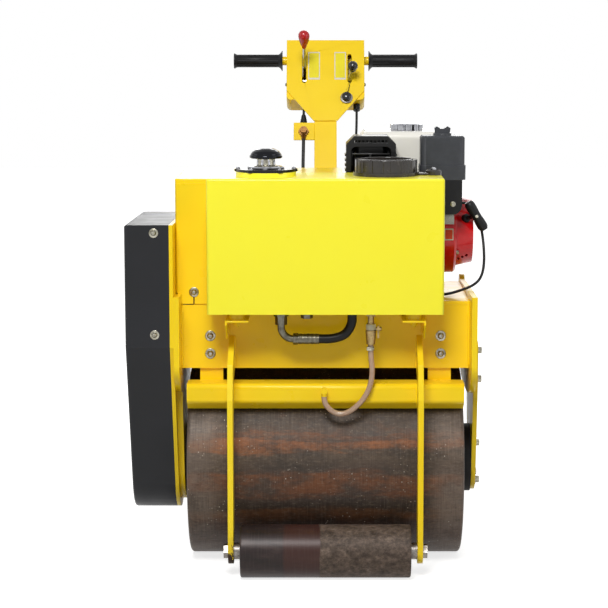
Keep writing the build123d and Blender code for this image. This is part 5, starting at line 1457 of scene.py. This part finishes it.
@dataclass
class Engine(Assembly):
    """Trim of the engine: louvre lips, heat shield, screws, starter, grip, tank, label and oil fittings."""

    guard_sides: tuple[float, float] = (45.0, 154.0)     # the silencer guard's outer faces, less its lips
    guard_low: float = 824.5         # the lowest louvre
    louvres: int = 7
    louvre_pitch: float = 11.0
    crank: tuple[float, float] = (85.0, 718.0)
    fan_face: float = 292.0
    recoil_ring: float = 85.0
    recoil_face: float = 330.0
    lip_rows: tuple[float, float] = (-49.0, 9.0)         # a louvre lip's front and back
    lip_heights: tuple[float, float] = (3.4, 8.0)        # over its louvre
    fuel_cap: Point = (182.0, 80.0, 957.0)
    seam: tuple[Point, Point] = ((77.2, 22.2, 861.0), (286.8, 191.8, 863.6))
    seam_corner: float = 25.8
    oil_cap: Point = (104.0, 150.0, 648.0)
    oil_drain: Point = (160.0, 155.0, 634.0)
    elbow: Point = (280.0, -50.0, 789.0)
    grip_middle: Point = (334.0, -14.0, 760.0)
    grip_button: Point = (334.5, -24.4, 759.5)
    rope_guide: Point = (313.0, 16.5, 751.6)
    label_border: tuple[Point, Point] = ((264.0, -10.5, 705.0), (284.0, -8.4, 731.0))
    label_field: tuple[Point, Point] = ((266.0, -10.8, 707.5), (282.0, -9.0, 728.5))
    # The heat shield's strips: name, lowest and highest corner, and the radius of the edges.
    STRIPS: ClassVar[tuple[tuple[str, Point, Point, float], ...]] = (
        ("shield_left", (47.5, 13.0, 826.0), (67.0, 17.0, 919.0), 0.8),
        ("shield_right", (132.0, 13.0, 826.0), (151.5, 17.0, 919.0), 0.8),
        ("shield_rib", (58.0, -55.0, 897.0), (141.0, -47.0, 901.0), 1.2),
        ("shield_bar", (96.0, -57.5, 818.0), (100.0, -53.5, 900.0), 1.2),
    )

    def build(self) -> list[Piece]:
        """Builds the engine's trim.

        Returns:
            The finished pieces.
        """
        return [self.louvre_lips(), self.heat_shield(), *self.screws(), *self.starter(), self.grip(),
                *self.tank_trim(), *self.label(), *self.oil_fittings()]

    def louvre_lips(self) -> Piece:
        """Presses the lip that stands out over each side louvre of the silencer's guard.

        Returns:
            The joined lips.
        """
        (left, right), (front, back), (foot, top) = self.guard_sides, self.lip_rows, self.lip_heights
        lips = []
        for number in range(self.louvres):
            z = self.guard_low + number * self.louvre_pitch
            for name, low, high in (("lip", left - 2.7, left + 0.5), ("far_lip", right - 0.5, right + 2.7)):
                lips.append(block(f"{name}_{number}", (low, front, z + foot), (high, back, z + top), 1.2, 1))
        return self.finish(joined("guard_louvre_lips", lips), "silencer_black_enamel", "black_enamel")

    def heat_shield(self) -> Piece:
        """Folds strips of shield beside the silencer, at the back of its guard, with a rib in front of it.

        Returns:
            The joined strips.
        """
        strips = joined("silencer_heat_shield", [block(*strip) for strip in self.STRIPS])
        return self.finish(strips, "silencer_black_enamel", "black_enamel")

    def screws(self) -> list[Piece]:
        """Sets flange bolts round the recoil starter, and the intake elbow's screw.

        Returns:
            Both groups.
        """
        places = on_ring((self.fan_face, *self.crank), self.recoil_ring, 3, Way.RIGHT, 0.75)
        return [self.fasten("recoil_bolts", Head.HEX, 8.0, places, Way.RIGHT),
                self.fasten("elbow_screw", Head.HEX, 7.0, [at(*self.elbow)], Way.FRONT)]

    def starter(self) -> list[Piece]:
        """Builds the rope's guide, the starter's centre boss and the grip's button.

        Returns:
            The three pieces.
        """
        guide = turned("rope_guide", ((-6.0, 9.0), (3.0, 10.0), (6.0, 9.0), (7.5, 6.0)), 28)
        set_down(guide, at(*self.rope_guide), Way.ALONG_ROPE.vector)
        boss = turned("starter_boss", ((0.0, 17.0), (2.0, 16.0), (3.0, 12.0)), 40)
        set_down(boss, at(self.recoil_face, *self.crank), Way.RIGHT.vector)
        button = turned("grip_button", ((-1.0, 3.6), (1.0, 3.4), (1.5, 2.6)), 24)
        set_down(button, at(*self.grip_button), Way.FRONT.vector)
        return [self.finish(guide, "black_engine_plastic", "black_plastic"),
                self.finish(boss, "engine_red_enamel", "red_enamel"),
                self.finish(button, "plate_border_white", "white_enamel")]

    def grip(self) -> Piece:
        """Moulds the recoil grip's sleeve, waisted for the fingers.

        Returns:
            The sleeve.
        """
        half = ((5.0, 10.5), (16.0, 11.4), (27.0, 11.6), (32.0, 10.4), (35.8, 7.4), (36.5, 5.0))
        sleeve = turned("recoil_grip", (*((-along, radius) for along, radius in reversed(half)), *half), 28)
        set_down(sleeve, at(*self.grip_middle), Way.DOWN_RECOIL_GRIP.vector)
        return self.finish(sleeve, "black_engine_plastic", "black_plastic")

    def tank_trim(self) -> list[Piece]:
        """Builds the fuel cap's pressed dome and the rolled seam round the tank.

        Returns:
            Both pieces.
        """
        dome = turned("fuel_cap_dome", ((0.0, 31.0), (1.2, 31.5), (2.4, 30.0), (3.4, 24.0), (3.8, 14.0)), 48)
        set_down(dome, at(*self.fuel_cap), Way.UP.vector)
        seam = block("fuel_tank_seam", *self.seam, 0.8, corner=self.seam_corner)
        return [self.finish(dome, "chrome_plate", "chrome_plate"),
                self.finish(seam, "fuel_tank_white_enamel", "white_enamel")]

    def label(self) -> list[Piece]:
        """Lays a bare label on the fan housing's front.

        Returns:
            Its border and its field.
        """
        border = block("fan_label_border", *self.label_border, 0.3, 1)
        field = block("fan_label_field", *self.label_field, 0.3, 1)
        return [self.finish(border, "plate_border_white", "white_enamel"),
                self.finish(field, "spare_label_orange", "red_enamel")]

    def oil_fittings(self) -> list[Piece]:
        """Builds the oil filler's cap low at the back and the drain bolt.

        Returns:
            Both pieces.
        """
        cap = turned("oil_filler_cap", ((-4.0, 11.0), (6.0, 11.0), (6.5, 15.0), (14.0, 15.0), (15.5, 13.5),
                                        (16.0, 8.0)), 20)
        set_down(cap, at(*self.oil_cap), Way.OIL_FILLER.vector)
        drain = self.fasten("oil_drain_bolt", Head.HEX, 14.0, [at(*self.oil_drain)], Way.BACK)
        return [self.finish(cap, "black_engine_plastic", "black_plastic"), drain]


@dataclass
class Handle(Assembly):
    """The folding handle's grips, plates, lever blades, boots, screws and pivot bolt."""

    grip_in: float = 106.0
    grip_out: float = 226.0
    grip_radius: float = 15.6
    bar_along: float = 584.0
    bar_depth: float = -14.0
    face: float = 24.0               # height of the console's face over the arm's middle
    flutes: int = 12
    plate_rows: tuple[float, float] = (514.0, 589.0)
    arm_side: float = 36.0           # half the arm's width, and the pivot's lugs
    inlet: float = 84.0              # the cable inlets, along the arm
    console_side: float = 95.0
    side_screw: tuple[float, float] = (517.0, -10.0)     # along the arm and over its middle
    back_screws: tuple[float, float] = (474.0, 610.0)
    back_screw_x: float = 80.0
    back_screw_seat: float = -40.0
    knob: tuple[float, float] = (51.0, 464.0)
    wire: tuple[Point, ...] = ((60.0, 508.0, 24.0), (58.0, 494.0, 29.0), (54.0, 478.0, 33.0),
                               (52.0, 470.0, 36.0))
    adjuster: Point = (-53.0, 368.0, 32.0)
    threads: int = 14
    thread_pitch: float = 1.2
    boot: Point = (-53.0, 401.0, 12.0)
    folds: int = 5
    fold_pitch: float = 4.6

    def build(self) -> list[Piece]:
        """Builds the handle's dressing.

        Returns:
            The finished pieces.
        """
        return [self.grips(), *self.plates(), *self.controls(), self.lever_blades(), *self.hardware()]

    def grip(self, name: str, end: int) -> Piece:
        """Models one grip: a flared collar, a fluted body and a rolled end.

        Args:
            name: its name.
            end: -1 for the left grip and 1 for the right one.

        Returns:
            The grip in its place.
        """
        length = self.grip_out - self.grip_in
        r = self.grip_radius
        body = turned(name, ((0.0, 24.8), (1.6, 24.8), (3.2, 21.5), (6.5, 17.6), (10.0, r), (length - 9.0, r),
                             (length - 5.0, r + 1.2), (length - 3.0, 18.7), (length - 0.8, 18.7),
                             (length, 17.0)), 2 * self.flutes)
        pick(body)
        bpy.ops.object.mode_set(mode="EDIT")

        def on_flute(centre: Vector, normal: Vector) -> bool:
            """True for every second face round the body."""
            turn = math.degrees(math.atan2(centre.y, centre.x)) % (360.0 / self.flutes)
            return abs(normal.z) < 0.2 and 10.0 < centre.z / MM < length - 9.0 and turn < 180.0 / self.flutes

        select_faces(body, on_flute)
        bpy.ops.mesh.inset(thickness=0.6 * MM, depth=-1.3 * MM, use_even_offset=True)
        bpy.ops.object.mode_set(mode="OBJECT")
        smooth(body, 50.0)
        place = handle_at(end * self.grip_in, self.bar_along, self.bar_depth)
        return set_down(body, place, Way.RIGHT.vector * end)

    def grips(self) -> Piece:
        """Puts both grips in place of the plain ones.

        Returns:
            The joined grips.
        """
        pair = [self.grip("grip_left", -1), self.grip("grip_right", 1)]
        return self.finish(joined("fluted_grips", pair), "grip_rubber", "black_rubber", "handle", ("grips",))

    def plates(self) -> list[Piece]:
        """Lays two bare plates beside the levers: a white border and a yellow field.

        Returns:
            Each plate's border and field.
        """
        low, high = self.plate_rows
        found = []
        for name, left, right in (("travel", -42.5, -13.6), ("throttle", 21.7, 49.9)):
            border = block(f"{name}_plate_border", (left, low, self.face), (right, high, self.face + 0.6),
                           0.25, 1, HANDLE)
            field = block(f"{name}_plate_field", (left + 2.4, low + 5.0, self.face + 0.3),
                          (right - 2.4, high - 3.0, self.face + 0.9), 0.25, 1, HANDLE)
            found.append(self.finish(border, "plate_border_white", "white_enamel", "handle"))
            found.append(self.finish(field, "plate_field_yellow", "lemon_enamel", "handle"))
        return found

    def controls(self) -> list[Piece]:
        """Builds the push knob's nut, the wire to it, the travel cable's threaded end and its boot's bellows.

        Returns:
            The four pieces.
        """
        nut = turned("push_knob_nut", ((0.0, 14.0), (0.6, 14.9), (3.8, 14.9), (4.6, 13.8), (4.8, 9.0)), 36)
        set_down(nut, handle_at(*self.knob, self.face), Way.OUT_OF_HANDLE.vector)
        wire = linkage("throttle_wire", [handle_at(*point) for point in self.wire], 0.8)
        thread = [(0.0, 3.6)]
        for turn in range(self.threads):
            thread += [(self.thread_pitch * turn + 0.3, 4.7), (self.thread_pitch * turn + 0.9, 5.2)]
        collar = turned("adjuster_thread", (*thread, (17.2, 4.2)), 20)
        set_down(collar, handle_at(*self.adjuster), Way.DOWN_HANDLE.vector)
        stations = [(0.0, 8.2)]
        for fold in range(self.folds):
            wide, foot = 9.0 - 0.8 * fold, self.fold_pitch * fold
            stations += [(foot + 1.2, wide), (foot + 2.6, wide), (foot + 4.0, wide - 1.8)]
        bellows = turned("travel_cable_bellows", (*stations, (24.5, 3.4)), 28)
        set_down(bellows, handle_at(*self.boot), Way.UP_HANDLE.vector)
        return [self.finish(nut, "bare_axle_steel", "zinc_steel", "handle"),
                self.finish(wire, "black_engine_plastic", "black_plastic", "handle"),
                self.finish(collar, "bronze_fitting", "brass", "handle"),
                self.finish(bellows, "hose_rubber", "black_rubber", "handle")]

    def lever_blades(self) -> Piece:
        """Builds flat blades at the feet of both levers, seen through and over their slots.

        Returns:
            The joined blades.
        """
        foot = self.face - 6.0
        blades = [block("travel_blade", (-56.6, 520.0, foot), (-54.2, 566.0, self.face + 5.0), space=HANDLE),
                  block("throttle_blade", (57.0, 512.0, foot), (59.6, 540.0, self.face + 3.0), space=HANDLE)]
        return self.finish(joined("lever_blades", blades), "bare_axle_steel", "chrome_plate", "handle")

    def hardware(self) -> list[Piece]:
        """Sets the pivot's bolt head and nut, the cable inlets' collars and the console's screws.

        Returns:
            The groups.
        """
        _, hinge, height = PIVOT
        bolt = self.fasten("pivot_bolt_head", Head.HEX, 22.0, [at(-self.arm_side, hinge, height)], Way.LEFT)
        nut = self.fasten("pivot_bolt_nut", Head.NUT, 22.0, [at(self.arm_side, hinge, height)], Way.RIGHT)
        collars = [set_down(turned(f"inlet_collar_{end}", ((0.0, 7.5), (5.0, 7.5), (6.5, 6.0)), 24),
                            handle_at(end * self.arm_side, self.inlet, 0.0), Way.UP_HANDLE.vector)
                   for end in (-1, 1)]
        inlets = self.finish(joined("inlet_collars", collars), "hose_rubber", "black_rubber", "handle")
        found = [bolt, nut, inlets]
        side, far = [[handle_at(end * self.console_side, *self.side_screw)] for end in (1, -1)]
        back = [handle_at(x, along, self.back_screw_seat) for x in (-self.back_screw_x, self.back_screw_x)
                for along in self.back_screws]
        for name, places, way in (("right", side, Way.RIGHT), ("left", far, Way.LEFT),
                                  ("back", back, Way.BEHIND_HANDLE)):
            found.append(self.fasten(f"console_screws_{name}", Head.PAN, 9.0, places, way, "handle",
                                     "black_chrome"))
        return found


class Lay(Enum):
    """How a cord lies."""

    HANGING = "hanging"
    LOOSE = "loose"


@dataclass(frozen=True)
class Cord:
    """A hose or cable: the points of its route, its size, its real length and how it lies."""

    node: str                        # the plain tube that it stands for
    body: str
    finish: str
    slot: str
    diameter: float
    length: float
    lay: Lay
    stiffness: str
    along_handle: bool               # whether the route is given as X, up the arm and over its middle
    route: tuple[Point, ...]


@dataclass
class Cords(Assembly):
    """The water hose and the three control cables."""

    ROUTES: ClassVar[tuple[Cord, ...]] = (
        Cord("water_hose", "chassis", "clear_water_hose", "clear_hose", 12.0, 239.0, Lay.HANGING, "medium",
             False, ((97, -200, 500), (97, -200, 474), (101, -202, 444), (97, -204, 412), (82, -206, 382),
                     (60, -207, 361), (42, -207, 351), (23, -206, 351), (7, -204, 361), (-3, -203, 376),
                     (-3, -203, 388))),
        Cord("stop_cable", "chassis", "hose_rubber", "black_rubber", 6.0, 343.0, Lay.LOOSE, "stiff", False,
             ((300, 20, 786), (320, 20, 786), (338, 17, 766), (347, 9, 733), (352, -6, 694), (352, -28, 654),
              (344, -46, 625), (326, -58, 610), (300, -66, 601), (272, -70, 593), (244, -71, 590.6),
              (216, -71, 590.6))),
        Cord("travel_cable", "handle", "hose_rubber", "black_rubber", 8.0, 287.0, Lay.LOOSE, "stiff", True,
             ((-53, 367.206, 32), (-53, 340, 32), (-54, 290, 26), (-54, 240, 18), (-51, 190, 9),
              (-45, 148, 3), (-36, 112, 0), (-36, 84, 0))),
        Cord("throttle_cable", "handle", "hose_rubber", "black_rubber", 6.0, 365.0, Lay.LOOSE, "stiff", True,
             ((76, 446, -8), (76, 404, -8), (72, 340, -6), (65, 290, -2), (57, 240, 1), (49, 190, 3),
              (41, 146, 2), (36, 114, 0), (36, 84, 0))),
    )

    def build(self) -> list[Piece]:
        """Lays every cord.

        Returns:
            The cords.
        """
        return [self.laid(cord) for cord in self.ROUTES]

    def laid(self, cord: Cord) -> Piece:
        """Lays a cord as one open spline with a round section.

        Args:
            cord: the cord.

        Returns:
            Its curve.
        """
        points = [handle_at(*place) if cord.along_handle else at(*place) for place in cord.route]
        data = bpy.data.curves.new(f"{cord.node}_run", "CURVE")
        data.dimensions = "3D"
        data.bevel_depth = cord.diameter / 2 * MM
        data.bevel_resolution = 5
        data.resolution_u = 12
        data.use_fill_caps = True
        spline = data.splines.new("NURBS")
        spline.points.add(len(points) - 1)
        for point, place in zip(spline.points, points):
            point.co = (*place, 1.0)
        spline.order_u = 3
        spline.use_endpoint_u = True
        piece = bpy.data.objects.new(f"{cord.node}_run", data)
        bpy.context.scene.collection.objects.link(piece)
        data.materials.append(self.palette[cord.finish])
        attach(piece, cord.body)
        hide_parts(cord.node)
        LOG.info("%s rides on %s, %s", piece.name, cord.body, cord.finish)
        return piece


# ---------------------------------------------------------------- stage


@dataclass
class Studio:
    """A plain pale floor, soft lamps and the camera."""

    focal: float = 121.4             # on a 36 mm sensor
    pitch: float = 7.89              # degrees below the horizon
    stand: Point = (0.0, -4541.0, 1190.0)
    shift: float = -0.0354
    floor_size: float = 24.0         # in metres
    fill_light: str = "525252"
    # Each soft lamp's name, place and aim in millimetres, width in metres and power in watts.
    LAMPS: ClassVar[tuple[tuple[str, Point, Point, float, float], ...]] = (
        ("front_softbox", (-400, -2900, 3300), (0, 0, 600), 1.3, 122.0),
        ("right_softbox", (3200, -1600, 2000), (0, 0, 500), 1.6, 17.0),
        ("left_softbox", (-3400, -400, 2000), (0, 0, 500), 1.6, 13.0),
        ("back_softbox", (300, 3500, 2100), (0, 0, 500), 2.2, 46.0),
    )

    def build(self) -> None:
        """Builds the camera, the world, the floor and the lamps."""
        self.camera()
        self.world()
        self.floor()
        for lamp in self.LAMPS:
            self.lamp(*lamp)
        bpy.context.scene.view_settings.view_transform = "Standard"

    def camera(self) -> None:
        """Makes the camera and hands it to the scene."""
        data = bpy.data.cameras.new("camera")
        data.lens = self.focal
        data.sensor_width = 36.0
        data.shift_x = self.shift
        camera = bpy.data.objects.new("camera", data)
        camera.location = at(*self.stand)
        camera.rotation_euler = (math.radians(90.0 - self.pitch), 0.0, 0.0)
        bpy.context.scene.collection.objects.link(camera)
        bpy.context.scene.camera = camera

    def world(self) -> None:
        """Makes a surround: white to the camera, mirrors and clear things, and a grey fill otherwise."""
        world = bpy.data.worlds.new("surround")
        world.use_nodes = True
        tree = world.node_tree
        path = add_node(tree, Kind.LIGHT_PATH).outputs
        seen = add_node(tree, Kind.MATH, {0: path["Is Camera Ray"], 1: path["Is Transmission Ray"]},
                        operation="MAXIMUM")
        shown = add_node(tree, Kind.MATH, {0: seen.outputs[0], 1: path["Is Glossy Ray"]}, operation="MAXIMUM")
        colour = add_node(tree, Kind.MIX, {0: shown.outputs[0], 6: self.fill_light, 7: "FFFFFF"},
                          data_type="RGBA")
        fill(tree, tree.nodes["Background"], {"Color": colour.outputs[2]})
        bpy.context.scene.world = world

    def floor(self) -> None:
        """Lays a pale floor that glows white to the camera, less near the machine, and keeps the machine's
        shadow.
        """
        clear_selection()
        bpy.ops.mesh.primitive_plane_add(size=self.floor_size, location=DATUM)
        floor = bpy.context.object
        floor.name = "floor"
        material = bpy.data.materials.new("pale_floor")
        material.use_nodes = True
        tree = material.node_tree
        path = add_node(tree, Kind.LIGHT_PATH).outputs
        seen = add_node(tree, Kind.MATH, {0: path["Is Camera Ray"], 1: path["Is Glossy Ray"]},
                        operation="MAXIMUM")
        spot = add_node(tree, Kind.PLACE).outputs["Object"]
        away = add_node(tree, Kind.VECTOR_MATH, {0: spot, 1: tuple(DATUM)}, operation="DISTANCE")
        # Painted light: the floor glows to camera and glossy rays, from 0.76 within 0.4 m of the datum to full
        # beyond 1.9 m.
        glow = add_node(tree, Kind.RANGE, {"Value": away.outputs["Value"], "From Min": 0.4, "From Max": 1.9,
                                           "To Min": 0.76})
        lift = add_node(tree, Kind.MATH, {0: seen.outputs[0], 1: glow.outputs[0]}, operation="MULTIPLY")
        fill(tree, tree.nodes["Principled BSDF"], {
            "Base Color": "C9C8C6", "Roughness": 0.7, "Emission Color": "FFFFFF",
            "Emission Strength": lift.outputs[0]})
        floor.data.materials.append(material)

    def lamp(self, name: str, place: Point, aim: Point, size: float, power: float) -> None:
        """Makes a square soft lamp.

        Args:
            name: its name.
            place: where it stands, in millimetres.
            aim: what it looks at.
            size: its width in metres.
            power: its power in watts.
        """
        data = bpy.data.lights.new(name, "AREA")
        data.size = size
        data.energy = power
        lamp = bpy.data.objects.new(name, data)
        lamp.location = at(*place)
        lamp.rotation_euler = (at(*aim) - at(*place)).to_track_quat("-Z", "Y").to_euler()
        bpy.context.scene.collection.objects.link(lamp)


def main() -> None:
    """Builds the scene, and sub-assembly by sub-assembly."""
    logging.basicConfig(level=logging.INFO, format="%(name)s: %(message)s")
    Studio().build()
    palette = Palette()
    Dresser().dress(palette)
    for assembly in (FrameHardware, WeldBeads, DrumEnds, TankTop, Plumbing, Engine, Handle, Cords):
        pieces = assembly(palette).build()
        LOG.info("%s is built: %s", assembly.__name__, ", ".join(piece.name for piece in pieces))


if __name__ == "__main__":
    main()
